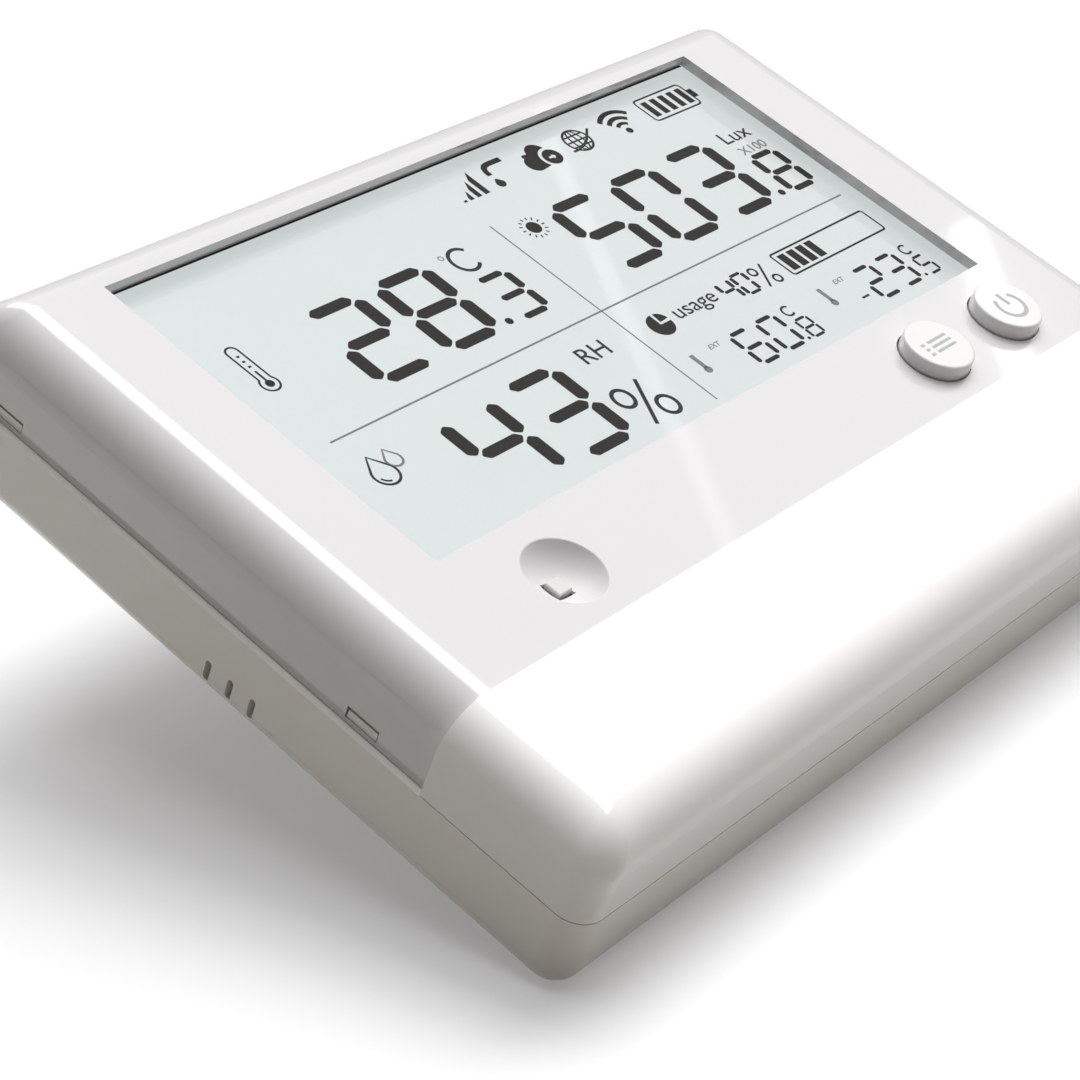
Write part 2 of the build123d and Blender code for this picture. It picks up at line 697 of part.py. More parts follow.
button_board_top = button_board_z + button_board_thickness
dome_height = flange_z - button_travel - button_stop_gap - button_board_top
dome_sphere = (dome_radius ** 2 + dome_height ** 2) / (2 * dome_height)
with BuildPart() as key_domes:
    for dome_x in (menu_x, power_x):
        with BuildSketch(Plane.XZ.offset(-control_y)):
            with BuildLine():
                Line((dome_x, button_board_top), (dome_x + dome_radius, button_board_top))
                RadiusArc((dome_x + dome_radius, button_board_top),
                          (dome_x, button_board_top + dome_height), -dome_sphere)
                Line((dome_x, button_board_top + dome_height), (dome_x, button_board_top))
            make_face()
        revolve(axis=Axis((dome_x, control_y, 0), (0, 0, 1)))

# Light guide: the pale square post at the bottom of the dish
with BuildPart() as light_guide:
    with BuildSketch(Plane.XY.offset(button_board_top)):
        with Locations((guide_x, guide_y)):
            Rectangle(guide_side, guide_side)
    extrude(amount=case_depth - guide_sink - button_board_top)
    chamfer(light_guide.faces().sort_by(Axis.Z)[-1].edges(), guide_side / 20)

buttons = {}
for button_name, button_x in (("menu_button", menu_x), ("power_button", power_x)):
    with BuildPart() as button:
        with BuildSketch(Plane.XY.offset(flange_z)):
            with Locations((button_x, control_y)):
                Circle(flange_radius)
        extrude(amount=flange_thickness)
        with BuildSketch(Plane.XY.offset(flange_z)):
            with Locations((button_x, control_y)):
                Circle(button_radius)
        extrude(amount=case_depth + button_rise - flange_z)
        fillet(button.faces().sort_by(Axis.Z)[-1].edges(), button_edge)
    buttons[button_name] = button

# Flat cables, bent from strip: one from the display's front sheet down to the main board,
# one from the main board up to the button board
cable_thickness = 0.3
cable_bend = 0.6
display_cable_width = 30.0
display_cable_out = 1.2
button_cable_width = 5.0
button_cable_side = 2.6
button_cable_x = ear_reach - button_cable_side
button_cable_run = 4.0
cable_turn_y = button_board_high + cable_bend
display_cable_z = display_z + display_step - cable_thickness / 2
with BuildPart() as display_cable:
    with BuildSketch(Plane.YZ.offset(-display_cable_width / 2)):
        with BuildLine() as display_route:
            FilletPolyline((display_high - cell_lap_high / 2 + cable_thickness,
                            display_cable_z),
                           (display_high + display_cable_out, display_cable_z),
                           (display_high + display_cable_out, board_top + cable_thickness / 2),
                           (display_high - 2 * display_cable_out,
                            board_top + cable_thickness / 2), radius=cable_bend)
            offset(amount=cable_thickness / 2, kind=Kind.ARC, side=Side.BOTH)
        make_face()
    extrude(amount=display_cable_width)

with BuildPart() as button_cable:
    with BuildSketch(Plane.YZ.offset(button_cable_x - button_cable_width / 2)):
        with BuildLine() as button_route:
            FilletPolyline((right_ear_low + button_cable_run, board_top + cable_thickness / 2),
                           (cable_turn_y, board_top + cable_thickness / 2),
                           (cable_turn_y, button_board_top + cable_thickness / 2),
                           (cable_turn_y - button_cable_run,
                            button_board_top + cable_thickness / 2), radius=cable_bend)
            offset(amount=cable_thickness / 2, kind=Kind.ARC, side=Side.BOTH)
        make_face()
    extrude(amount=button_cable_width)

# Battery contacts: a sprung strip at each end of the bay, bowed towards each cell
contact_thickness = 0.4
contact_width = 8.6
contact_span = 0.8 * row_pitch + contact_width
contacts = {}
for contact_name, side in (("left_contact", -1), ("right_contact", 1)):
    wall_x = side * (bay_length / 2 - seam_gap)
    tip_x = side * (cell_length + seam_gap)
    inner = contact_thickness * side
    with BuildPart() as contact:
        with BuildSketch(Plane.XY.offset(cell_z - contact_width / 2)):
            with Locations((wall_x - inner / 2, bay_y)):
                Rectangle(contact_thickness, contact_span)
            for row in (-1, 1):
                row_y = bay_y + row * row_pitch / 2
                half = contact_width / 2 - contact_thickness
                with BuildLine():
                    ThreePointArc((wall_x - inner / 2, row_y - half), (tip_x, row_y),
                                  (wall_x - inner / 2, row_y + half))
                    Line((wall_x - inner / 2, row_y + half),
                         (wall_x - inner / 2, row_y + half - contact_thickness))
                    ThreePointArc((wall_x - inner / 2, row_y + half - contact_thickness),
                                  (tip_x + inner, row_y),
                                  (wall_x - inner / 2, row_y - half + contact_thickness))
                    Line((wall_x - inner / 2, row_y - half + contact_thickness),
                         (wall_x - inner / 2, row_y - half))
                make_face()
        extrude(amount=contact_width)
    contacts[contact_name] = contact

# Battery cells: turned profiles, the nub of each towards the same end of its row
cells = {}
for row in (-1, 1):
    for column in (0, 1):
        row_y = bay_y + row * row_pitch / 2
        tail_x = row * cell_length * (1 - column)
        turn = -row
        with BuildPart() as cell:
            with BuildSketch(Plane.XY.offset(cell_z)):
                with BuildLine():
                    can_end = tail_x + turn * (cell_length - cell_nub_length)
                    nub_end = tail_x + turn * cell_length
                    Polyline((tail_x, row_y),
                             (tail_x, row_y + cell_radius - cell_rim),
                             (tail_x + turn * cell_rim, row_y + cell_radius),
                             (can_end - turn * cell_rim, row_y + cell_radius),
                             (can_end, row_y + cell_radius - cell_rim),
                             (can_end, row_y + cell_nub_radius),
                             (nub_end, row_y + cell_nub_radius),
                             (nub_end, row_y), close=True)
                make_face()
            revolve(axis=Axis((0, row_y, cell_z), (1, 0, 0)))
        cells[f"battery_cell_{len(cells) + 1}"] = cell

# Battery door, with a thumb scoop between grip ribs on its outer face
door_corner = 0.8
scoop_side = 13.3
scoop_x = bay_length / 2 - scoop_side
scoop_width = 9.0
scoop_length = 16.0
scoop_depth = 0.7
grip_rib = 0.9
grip_count = 4
grip_pitch = 2.2
with BuildPart() as battery_door:
    with BuildSketch():
        with Locations((0, bay_y)):
            RectangleRounded(bay_length + 2 * door_ledge - 2 * door_gap,
                             bay_height - 2 * door_gap, door_corner)
    extrude(amount=door_thickness)
    with BuildSketch():
        with Locations((scoop_x, bay_y)):
            SlotOverall(scoop_length, scoop_width, rotation=90)
    extrude(amount=scoop_depth, mode=Mode.SUBTRACT)
    with BuildSketch():
        with Locations((scoop_x, bay_y)):
            with GridLocations(grip_pitch, grip_pitch, 1, grip_count):
                Rectangle(scoop_width - grip_pitch, grip_rib)
    extrude(amount=scoop_depth)

# Stand leg, drawn in its own plane: u runs from the pin to the foot, X across
leg_turn = radians(leg_open_angle)
leg_normal = (0, sin(leg_turn), -cos(leg_turn))
leg_plane = Plane(origin=(0, hinge_y, hinge_z), x_dir=(1, 0, 0), z_dir=leg_normal)
pocket_edge = 4.0
pocket_depth = 0.9
with BuildPart() as stand_leg:
    with BuildSketch(leg_plane.offset(leg_mid - leg_thickness / 2)):
        with BuildLine():
            Polyline((-leg_width / 2, 0), (-leg_foot_width / 2, leg_length),
                     (leg_foot_width / 2, leg_length), (leg_width / 2, 0), close=True)
        make_face()
    extrude(amount=leg_thickness)
    with BuildSketch(leg_plane.offset(leg_mid + leg_thickness / 2 - pocket_depth)):
        with BuildLine():
            Polyline((-leg_width / 2 + pocket_edge, pocket_edge),
                     (-leg_foot_width / 2 + pocket_edge, leg_length - pocket_edge),
                     (leg_foot_width / 2 - pocket_edge, leg_length - pocket_edge),
                     (leg_width / 2 - pocket_edge, pocket_edge), close=True)
        make_face()
    extrude(amount=pocket_depth, mode=Mode.SUBTRACT)
    with BuildSketch(Plane.YZ.offset(-leg_width / 2)):
        with Locations((hinge_y, hinge_z)):
            Circle(knuckle_radius)
        with Locations((hinge_y + heel_reach / 2, hinge_z - heel_height / 2)):
            Rectangle(heel_reach, heel_height)
    extrude(amount=leg_width)
    with BuildSketch(Plane.YZ.offset(-leg_foot_width / 2)):
        with Locations((hinge_y - leg_length * cos(leg_turn) + leg_mid * sin(leg_turn),
                        hinge_z - leg_length * sin(leg_turn) - leg_mid * cos(leg_turn))):
            Circle(foot_radius)
    extrude(amount=leg_foot_width)
    with BuildSketch(Plane.YZ.offset(-leg_width / 2)):
        with Locations((hinge_y, hinge_z)):
            Circle(pin_radius + pin_fit)
    extrude(amount=leg_width, mode=Mode.SUBTRACT)

with BuildPart() as hinge_pin:
    with BuildSketch(Plane.YZ.offset(-recess_width / 2 - pin_grip + seat_gap)):
        with Locations((hinge_y, hinge_z)):
            Circle(pin_radius)
    extrude(amount=recess_width + 2 * pin_grip - 2 * seat_gap)
    chamfer(hinge_pin.edges().filter_by(GeomType.CIRCLE), pin_radius / 4)

# Screws: countersunk into the back, and small ones on the boards and the clamp
driver_radius = 1.2
driver_depth = 1.0
with BuildPart() as case_screws:
    with BuildSketch(Plane.XY.offset(screw_sink)):
        with Locations(*screw_places):
            Circle(screw_head_radius)
    extrude(amount=screw_head_height)
    with BuildSketch(Plane.XY.offset(screw_sink)):
        with Locations(*screw_places):
            Circle(screw_radius)
    extrude(amount=screw_length)
    with BuildSketch(Plane.XY.offset(screw_sink)):
        with Locations(*screw_places):
            Rectangle(2 * driver_radius, driver_radius / 3)
            Rectangle(driver_radius / 3, 2 * driver_radius)
    extrude(amount=driver_depth, mode=Mode.SUBTRACT)

with BuildPart() as board_screws:
    with BuildSketch(Plane.XY.offset(board_top)):
        with Locations(*standoff_places):
            Circle(small_head_radius)
    extrude(amount=small_head_height)
    with BuildSketch(Plane.XY.offset(board_top)):
        with Locations(*standoff_places):
            Circle(small_screw_radius)
    extrude(amount=-small_screw_length + seat_gap)

with BuildPart() as clamp_screws:
    with BuildSketch(Plane.XY.offset(clamp_z)):
        with Locations(*clamp_places):
            Circle(small_head_radius)
    extrude(amount=-small_head_height)
    with BuildSketch(Plane.XY.offset(clamp_z)):
        with Locations(*clamp_places):
            Circle(small_screw_radius)
    extrude(amount=small_screw_length - seat_gap)

pieces = {"rear_shell": rear_shell, "front_cover": front_cover, "chin_cover": chin_cover,
          "display_lens": display_lens, "lcd_glass": lcd_glass, "light_panel": light_panel,
          "display_clamp": display_clamp, "main_board": main_board,
          "radio_module": radio_module, "controller_chip": controller_chip, "buzzer": buzzer,
          "power_socket": power_socket, "probe_jack": probe_jack,
          "sensor_board": sensor_board, "climate_sensor": climate_sensor,
          "button_board": button_board, "key_domes": key_domes, "light_guide": light_guide,
          **buttons, "display_cable": display_cable, "button_cable": button_cable,
          **contacts, **cells, "battery_door": battery_door, "stand_leg": stand_leg,
          "hinge_pin": hinge_pin, "case_screws": case_screws, "board_screws": board_screws,
          "clamp_screws": clamp_screws}

# Lean the case back so that its lower edge and the leg's foot stand on Z = 0, with the origin
# halfway between the chin's foremost line and the back's rearmost line
chin_reach = ((bottom_y + face_fillet) * cos(lean_turn)
              - (case_depth + chin_rise - face_fillet) * sin(lean_turn) - face_fillet)
back_reach = ((top_y - back_fillet) * cos(lean_turn)
              - back_fillet * sin(lean_turn) + back_fillet)
lean = Location((0, 0, 0), (lean_angle, 0, 0))
stance = Location((0, -(chin_reach + back_reach) / 2, -heel_level)) * lean

for name, piece in pieces.items():
    piece.part.label = name
    piece.part.locate(stance)
    export_step(piece.part, f"parts/{name}.step")
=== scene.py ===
import math

import bpy
from mathutils import Euler, Matrix, Vector


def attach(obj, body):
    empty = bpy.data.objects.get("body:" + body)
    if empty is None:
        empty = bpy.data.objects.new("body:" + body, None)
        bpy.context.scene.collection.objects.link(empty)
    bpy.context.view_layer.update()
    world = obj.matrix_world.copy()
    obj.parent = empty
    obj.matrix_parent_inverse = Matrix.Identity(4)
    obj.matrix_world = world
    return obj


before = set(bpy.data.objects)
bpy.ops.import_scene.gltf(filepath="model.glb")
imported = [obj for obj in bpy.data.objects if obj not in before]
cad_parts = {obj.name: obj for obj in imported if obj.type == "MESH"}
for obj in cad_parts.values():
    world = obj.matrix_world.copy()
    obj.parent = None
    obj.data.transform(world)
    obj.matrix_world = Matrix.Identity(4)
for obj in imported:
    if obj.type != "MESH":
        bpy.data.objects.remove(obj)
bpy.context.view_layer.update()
bpy.ops.object.select_all(action="DESELECT")
print("frame loaded:", len(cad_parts), "nodes")

mm = 0.001

# How the case stands: its drawing (X across, Y up the face, Z out of it, in mm) leans back
stance = {"leanDegrees": 20.9, "forward": 3.4177, "up": 15.4479}
casePlace = (Matrix.Translation((0, stance["forward"] * mm, stance["up"] * mm))
             @ Matrix.Rotation(math.radians(stance["leanDegrees"]), 4, "X"))


def onCase(x, y, z):
    return casePlace @ Vector((x * mm, y * mm, z * mm))


# Camera and light

viewpoint = {"lens": 94.72, "sensor": 36.0, "nearest": 0.01,
             "place": (-234.43, -115.79, 198.83), "target": (-38.5, -13.45, 21.0)}


def aim(thing, target):
    thing.rotation_euler = (target - thing.location).to_track_quat("-Z", "Y").to_euler()


def setCamera():
    bpy.ops.object.camera_add(location=onCase(*viewpoint["place"]))
    camera = bpy.context.object
    camera.name = "photoCamera"
    camera.data.lens = viewpoint["lens"]
    camera.data.sensor_width = viewpoint["sensor"]
    camera.data.clip_start = viewpoint["nearest"]
    aim(camera, onCase(*viewpoint["target"]))
    bpy.context.scene.camera = camera


studio = {
    "sunFrom": (0.80, 0.06, 1.0), "sunSpread": 36.0, "sunPower": 2.0,
    "fillFrom": (0.0, 0.1, 1.0), "fillSpread": 40.0, "fillPower": 0.98,
    "sunColour": (1.0, 0.985, 0.99),
    "worldLevel": 0.15, "worldColour": (1.0, 0.965, 0.9, 1.0),
    # each lamp: middle, width across and along, turn about the upright, watts
    "lamps": {
        "overheadBox": {"place": (0.29, 0.2, 1.0), "size": (0.38, 1.4), "turn": 0, "power": 6.7},
        "edgeStrip": {"place": (0.545, 0.2, 0.89), "size": (0.016, 1.1), "turn": 0, "power": 0.2},
        "glareTube": {"place": (0.853, 0.068, 0.612), "size": (0.016, 0.09), "turn": -24,
                      "power": 0.014},
        "streakTube": {"place": (0.735, 0.165, 0.692), "size": (0.008, 0.26), "turn": -18,
                       "power": 0.008},
    },
    # cards out of the camera's sight: two dark ones keep light off the left and front sides, and
    # the third, with a glow of its own, is only what the far edges mirror
    "cards": {
        "leftCard": {"place": (-0.62, 0.1, 0.45), "size": (0.8, 1.6), "turn": (0, 90, 0),
                     "seen": "light", "tone": 0.04, "glow": 0.0},
        "frontCard": {"place": (0.25, -0.8, 0.3), "size": (1.3, 0.5), "turn": (90, 0, 0),
                      "seen": "light", "tone": 0.2, "glow": 0.0},
        "mirrorCard": {"place": (1.3, 0.75, 0.45), "size": (0.9, 3.2), "turn": (0, 90, 30),
                       "seen": "gloss", "tone": 0.04, "glow": 0.5},
    },
}


def addArea(name, look):
    # its width lies across the room and its length runs from the front to the back
    bpy.ops.object.light_add(type="AREA", location=look["place"])
    lamp = bpy.context.object
    lamp.name = name
    lamp.data.shape = "RECTANGLE"
    lamp.data.size, lamp.data.size_y = look["size"]
    lamp.data.energy = look["power"]
    lamp.rotation_euler = (0, math.atan2(look["place"][0], look["place"][2]),
                           math.radians(look["turn"]))


def addCard(name, look):
    bpy.ops.mesh.primitive_grid_add(x_subdivisions=2, y_subdivisions=2, size=1)
    card = bpy.context.object
    card.name = name
    width, length = look["size"]
    turn = Euler([math.radians(angle) for angle in look["turn"]]).to_matrix().to_4x4()
    card.data.transform(Matrix.Translation(look["place"]) @ turn
                        @ Matrix.Diagonal((width, length, 1, 1)))
    card.visible_camera = False
    if look["seen"] == "gloss":
        card.visible_diffuse = False
        card.visible_shadow = False
    else:
        card.visible_glossy = False
    card.data.materials.append(cardFinish(name, look["tone"], look["glow"]))


def addSun(name, place, spread, power):
    bpy.ops.object.light_add(type="SUN", location=place)
    sun = bpy.context.object
    sun.name = name
    sun.data.energy = power
    sun.data.angle = math.radians(spread)
    sun.data.color = studio["sunColour"]
    sun.visible_glossy = False
    aim(sun, Vector((0, 0, 0)))


def setLights():
    addSun("softKey", studio["sunFrom"], studio["sunSpread"], studio["sunPower"])
    addSun("topFill", studio["fillFrom"], studio["fillSpread"], studio["fillPower"])
    for name, look in studio["lamps"].items():
        addArea(name, look)
    for name, look in studio["cards"].items():
        addCard(name, look)
    bpy.context.scene.view_settings.view_transform = "Standard"


# Finishes. A Wire is a socket's value, and sums with it add the nodes that work them out.

class Wire:
    def __init__(self, tree, socket=None):
        self.tree = tree
        self.socket = socket

    def node(self, kind, settings=None, sockets=None, out=0):
        made = self.tree.nodes.new(kind)
        for name, value in (settings or {}).items():
            if name == "stops":
                ramp = made.color_ramp.elements
                while len(ramp) < len(value):
                    ramp.new(0.5)
                for stop, (place, colour) in zip(ramp, value):
                    stop.position = place
                    stop.color = colour
            else:
                setattr(made, name, value)
        for name, value in (sockets or {}).items():
            if isinstance(value, Wire):
                self.tree.links.new(value.socket, made.inputs[name])
            else:
                made.inputs[name].default_value = value
        return Wire(self.tree, made.outputs[out])

    def sum(self, operation, first, second):
        return self.node("ShaderNodeMath", {"operation": operation}, {0: first, 1: second})

    def __add__(self, other):
        return self.sum("ADD", self, other)

    __radd__ = __add__

    def __sub__(self, other):
        return self.sum("SUBTRACT", self, other)

    def __rsub__(self, other):
        return self.sum("SUBTRACT", other, self)

    def __mul__(self, other):
        return self.sum("MULTIPLY", self, other)

    __rmul__ = __mul__

    def __gt__(self, other):
        return self.sum("GREATER_THAN", self, other)


def showOn(start, kind, surface):
    output = start.tree.nodes.new(kind)
    start.tree.links.new(surface.socket, output.inputs["Surface"])


def blendColour(wire, share, first, second):
    return wire.node("ShaderNodeMix", {"data_type": "RGBA"}, {0: share, 6: first, 7: second}, 2)


def openFinish(name):
    material = bpy.data.materials.new(name)
    material.use_nodes = True
    material.node_tree.nodes.clear()
    start = Wire(material.node_tree)
    spot = start.node("ShaderNodeTexCoord", out="Object")
    return material, start, spot


def closeFinish(material, start, sockets):
    surface = start.node("ShaderNodeBsdfPrincipled", None, sockets)
    showOn(start, "ShaderNodeOutputMaterial", surface)
    return material


def rgb(red, green, blue):
    return (red, green, blue, 1.0)


def noise(start, spot, scale, detail=2.0):
    return start.node("ShaderNodeTexNoise", None,
                      {"Vector": spot, "Scale": scale, "Detail": detail})


def relief(start, height, strength, depth):
    return start.node("ShaderNodeBump", None,
                      {"Strength": strength, "Distance": depth * mm, "Height": height})


# Moulded plastic: a tint that drifts a little over the piece, smears in its gloss, fine grain
plastics = {
    "shellWhite": {"tint": rgb(0.91, 0.89, 0.855), "drift": rgb(0.89, 0.87, 0.835),
                   "rough": 0.34, "smear": 0.08, "grain": 2600.0, "depth": 0.008, "coat": 0.6},
    "coverWhite": {"tint": rgb(0.625, 0.612, 0.62), "drift": rgb(0.615, 0.602, 0.61),
                   "rough": 0.2, "smear": 0.05, "grain": 900.0, "depth": 0.002, "coat": 1.0},
    "chinWhite": {"tint": rgb(0.87, 0.86, 0.85), "drift": rgb(0.855, 0.845, 0.835),
                  "rough": 0.18, "smear": 0.05, "grain": 800.0, "depth": 0.002, "coat": 1.0},
    "keyWhite": {"tint": rgb(0.72, 0.715, 0.71), "drift": rgb(0.705, 0.7, 0.695),
                 "rough": 0.2, "smear": 0.05, "grain": 1500.0, "depth": 0.003, "coat": 0.5},
    "guideMilk": {"tint": rgb(0.6, 0.6, 0.585), "drift": rgb(0.56, 0.56, 0.55),
                  "rough": 0.45, "smear": 0.1, "grain": 1800.0, "depth": 0.004, "coat": 0.0},
    "diffuserWhite": {"tint": rgb(0.86, 0.88, 0.9), "drift": rgb(0.8, 0.82, 0.84),
                      "rough": 0.5, "smear": 0.1, "grain": 1400.0, "depth": 0.01, "coat": 0.0},
    "frameGrey": {"tint": rgb(0.12, 0.12, 0.12), "drift": rgb(0.09, 0.09, 0.09),
                  "rough": 0.5, "smear": 0.12, "grain": 2000.0, "depth": 0.02, "coat": 0.0},
    "jackBlack": {"tint": rgb(0.035, 0.035, 0.036), "drift": rgb(0.025, 0.025, 0.026),
                  "rough": 0.4, "smear": 0.1, "grain": 2400.0, "depth": 0.012, "coat": 0.0},
    "chipBlack": {"tint": rgb(0.03, 0.03, 0.032), "drift": rgb(0.02, 0.02, 0.021),
                  "rough": 0.6, "smear": 0.1, "grain": 5000.0, "depth": 0.02, "coat": 0.0},
    "ribbonAmber": {"tint": rgb(0.45, 0.22, 0.04), "drift": rgb(0.36, 0.16, 0.03),
                    "rough": 0.3, "smear": 0.1, "grain": 1200.0, "depth": 0.006, "coat": 0.3},
}
plasticPattern = {"driftScale": 22.0, "smearScale": 75.0, "smearDetail": 4.0,
                  "bumpStrength": 0.35, "coatRough": 0.04, "ior": 1.5}

# The light dish in the cover's face is matt, where the face round it is gloss
bowl = {"finish": "coverWhite", "middle": (-39.65, -17.85, 21.0), "radius": 4.72, "rough": 0.5}


def plastic(name):
    look = plastics[name]
    material, start, spot = openFinish(name)
    drift = noise(start, spot, plasticPattern["driftScale"])
    smear = noise(start, spot, plasticPattern["smearScale"], plasticPattern["smearDetail"])
    grain = noise(start, spot, look["grain"])
    rough = look["rough"] + (smear - 0.5) * look["smear"]
    coat = look["coat"]
    if name == bowl["finish"]:
        away = start.node("ShaderNodeVectorMath", {"operation": "DISTANCE"},
                          {0: spot, 1: onCase(*bowl["middle"])}, "Value")
        gloss = away > bowl["radius"] * mm
        rough = bowl["rough"] + (rough - bowl["rough"]) * gloss
        coat = gloss * coat
    return closeFinish(material, start, {
        "Base Color": blendColour(start, drift, look["tint"], look["drift"]),
        "Roughness": rough, "Coat Weight": coat, "Coat Roughness": plasticPattern["coatRough"],
        "IOR": plasticPattern["ior"],
        "Normal": relief(start, grain, plasticPattern["bumpStrength"], look["depth"])})


# Studio cards: plain board, with a faint weave
cardPattern = {"weaveScale": 40.0, "lighter": 1.2, "rough": 0.8, "roughSpread": 0.1}


def cardFinish(name, tone, glow):
    material, start, spot = openFinish(name)
    weave = noise(start, spot, cardPattern["weaveScale"])
    light = tone * cardPattern["lighter"]
    return closeFinish(material, start, {
        "Base Color": blendColour(start, weave, rgb(tone, tone, tone), rgb(light, light, light)),
        "Roughness": cardPattern["rough"] + weave * cardPattern["roughSpread"],
        "Emission Color": rgb(1, 1, 1), "Emission Strength": glow})


# Metal parts: drawn or plated, with faint lines one way
metals = {
    "shieldTin": {"tint": rgb(0.62, 0.62, 0.61), "dull": rgb(0.45, 0.45, 0.44), "rough": 0.32},
    "springNickel": {"tint": rgb(0.68, 0.66, 0.6), "dull": rgb(0.5, 0.48, 0.43), "rough": 0.28},
    "screwZinc": {"tint": rgb(0.55, 0.55, 0.55), "dull": rgb(0.38, 0.38, 0.37), "rough": 0.36},
}
metalPattern = {"drawn": (900.0, 9000.0, 900.0), "stainScale": 260.0, "detail": 3.0,
                "bumpStrength": 0.2, "depth": 0.01, "roughSpread": 0.2}


def metal(name):
    look = metals[name]
    material, start, spot = openFinish(name)
    along = start.node("ShaderNodeMapping", None, {"Vector": spot, "Scale": metalPattern["drawn"]})
    lines = noise(start, along, 1.0, metalPattern["detail"])
    stain = noise(start, spot, metalPattern["stainScale"], metalPattern["detail"])
    return closeFinish(material, start, {
        "Base Color": blendColour(start, stain, look["tint"], look["dull"]), "Metallic": 1.0,
        "Roughness": look["rough"] + (lines - 0.5) * metalPattern["roughSpread"],
        "Normal": relief(start, lines, metalPattern["bumpStrength"], metalPattern["depth"])})


# Circuit board: lacquer over copper, with tracks as a raised square pattern
boardLook = {"lacquer": rgb(0.02, 0.13, 0.05), "overCopper": rgb(0.05, 0.23, 0.09),
             "trackPitch": 260.0, "trackGap": 0.06, "trackShift": 0.5, "bumpStrength": 0.4,
             "depth": 0.03, "cloudScale": 160.0, "rough": 0.3, "roughSpread": 0.15, "coat": 0.4}


def boardFinish():
    material, start, spot = openFinish("boardGreen")
    tracks = start.node("ShaderNodeTexBrick", {"offset": boardLook["trackShift"]},
                        {"Vector": spot, "Scale": boardLook["trackPitch"],
                         "Mortar Size": boardLook["trackGap"]}, "Fac")
    cloud = noise(start, spot, boardLook["cloudScale"])
    return closeFinish(material, start, {
        "Base Color": blendColour(start, tracks, boardLook["overCopper"], boardLook["lacquer"]),
        "Roughness": boardLook["rough"] + cloud * boardLook["roughSpread"],
        "Coat Weight": boardLook["coat"],
        "Normal": relief(start, tracks, boardLook["bumpStrength"], boardLook["depth"])})


# Battery cell: a printed sleeve with a bare band at each end
cellLook = {"sleeve": rgb(0.05, 0.2, 0.1), "print": rgb(0.08, 0.3, 0.16),
            "bare": rgb(0.62, 0.62, 0.6), "bareFrom": 48.5, "waveScale": 24.0, "waver": 0.6,
            "scuffScale": 500.0, "metallic": 0.9, "rough": 0.25, "roughSpread": 0.15}


def cellFinish():
    material, start, spot = openFinish("cellSleeve")
    cross = start.node("ShaderNodeSeparateXYZ", None, {"Vector": spot}, "X")
    wave = start.node("ShaderNodeTexWave", {"bands_direction": "X"},
                      {"Vector": spot, "Scale": cellLook["waveScale"],
                       "Distortion": cellLook["waver"]}, "Fac")
    fromMiddle = start.node("ShaderNodeMath", {"operation": "ABSOLUTE"}, {0: cross})
    bare = fromMiddle > cellLook["bareFrom"] * mm
    sleeve = blendColour(start, wave, cellLook["sleeve"], cellLook["print"])
    scuff = noise(start, spot, cellLook["scuffScale"])
    return closeFinish(material, start, {
        "Base Color": blendColour(start, bare, sleeve, cellLook["bare"]),
        "Metallic": bare * cellLook["metallic"],
        "Roughness": cellLook["rough"] + scuff * cellLook["roughSpread"]})


# Display field: pale and slightly cyan, a shade paler to the right, with a faint row grid. Most
# of its light is a painted glow of its own, standing in for light so that no shade falls along its
# edges.
fieldLook = {"left": rgb(0.066, 0.0718, 0.0715), "right": rgb(0.0668, 0.0718, 0.0713),
             "darker": rgb(0.061, 0.0665, 0.0663), "reach": 50.0, "gridPitch": 2600.0,
             "gridShare": 0.25, "cloudScale": 40.0, "rough": 0.45, "roughSpread": 0.08,
             "coat": 1.0, "coatRough": 0.03, "ownLight": 9.1}


def fieldFinish():
    material, start, spot = openFinish("displayField")
    across = start.node("ShaderNodeSeparateXYZ", None, {"Vector": spot}, "X")
    reach = fieldLook["reach"] * mm
    share = start.node("ShaderNodeMapRange", None,
                       {"Value": across, "From Min": -reach, "From Max": reach})
    base = blendColour(start, share, fieldLook["left"], fieldLook["right"])
    grid = noise(start, spot, fieldLook["gridPitch"], 1.0)
    tone = blendColour(start, grid * fieldLook["gridShare"], base, fieldLook["darker"])
    cloud = noise(start, spot, fieldLook["cloudScale"])
    return closeFinish(material, start, {
        "Base Color": tone,
        "Roughness": fieldLook["rough"] + (cloud - 0.5) * fieldLook["roughSpread"],
        "Coat Weight": fieldLook["coat"], "Coat Roughness": fieldLook["coatRough"],
        # painted glow: the field's own light stands in for light and keeps shade off its edges
        "Emission Color": tone, "Emission Strength": fieldLook["ownLight"]})


# Ink of the marks: worn in small patches
inks = {
    "inkDark": {"tint": rgb(0.014, 0.012, 0.011), "worn": rgb(0.02, 0.018, 0.016), "shine": 0.05},
    "inkMid": {"tint": rgb(0.018, 0.017, 0.016), "worn": rgb(0.03, 0.029, 0.028), "shine": 0.05},
    "inkPale": {"tint": rgb(0.15, 0.157, 0.155), "worn": rgb(0.19, 0.198, 0.195), "shine": 0.1},
    "keyMark": {"tint": rgb(0.37, 0.39, 0.38), "worn": rgb(0.42, 0.44, 0.43), "shine": 0.3},
}
inkPattern = {"patchScale": 1800.0, "rough": 0.4, "roughSpread": 0.15}


def ink(name):
    look = inks[name]
    material, start, spot = openFinish(name)
    patch = noise(start, spot, inkPattern["patchScale"])
    return closeFinish(material, start, {
        "Base Color": blendColour(start, patch, look["tint"], look["worn"]),
        "Roughness": inkPattern["rough"] + patch * inkPattern["roughSpread"],
        "Specular IOR Level": look["shine"]})


# Lens: clear, so what lies under it carries the colour, with a faint haze
lensLook = {"clear": rgb(0.24, 0.26, 0.26), "haze": rgb(0.2, 0.22, 0.22), "hazeScale": 60.0,
            "detail": 3.0, "rough": 0.05, "roughSpread": 0.04, "alpha": 0.02,
            "alphaSpread": 0.015}


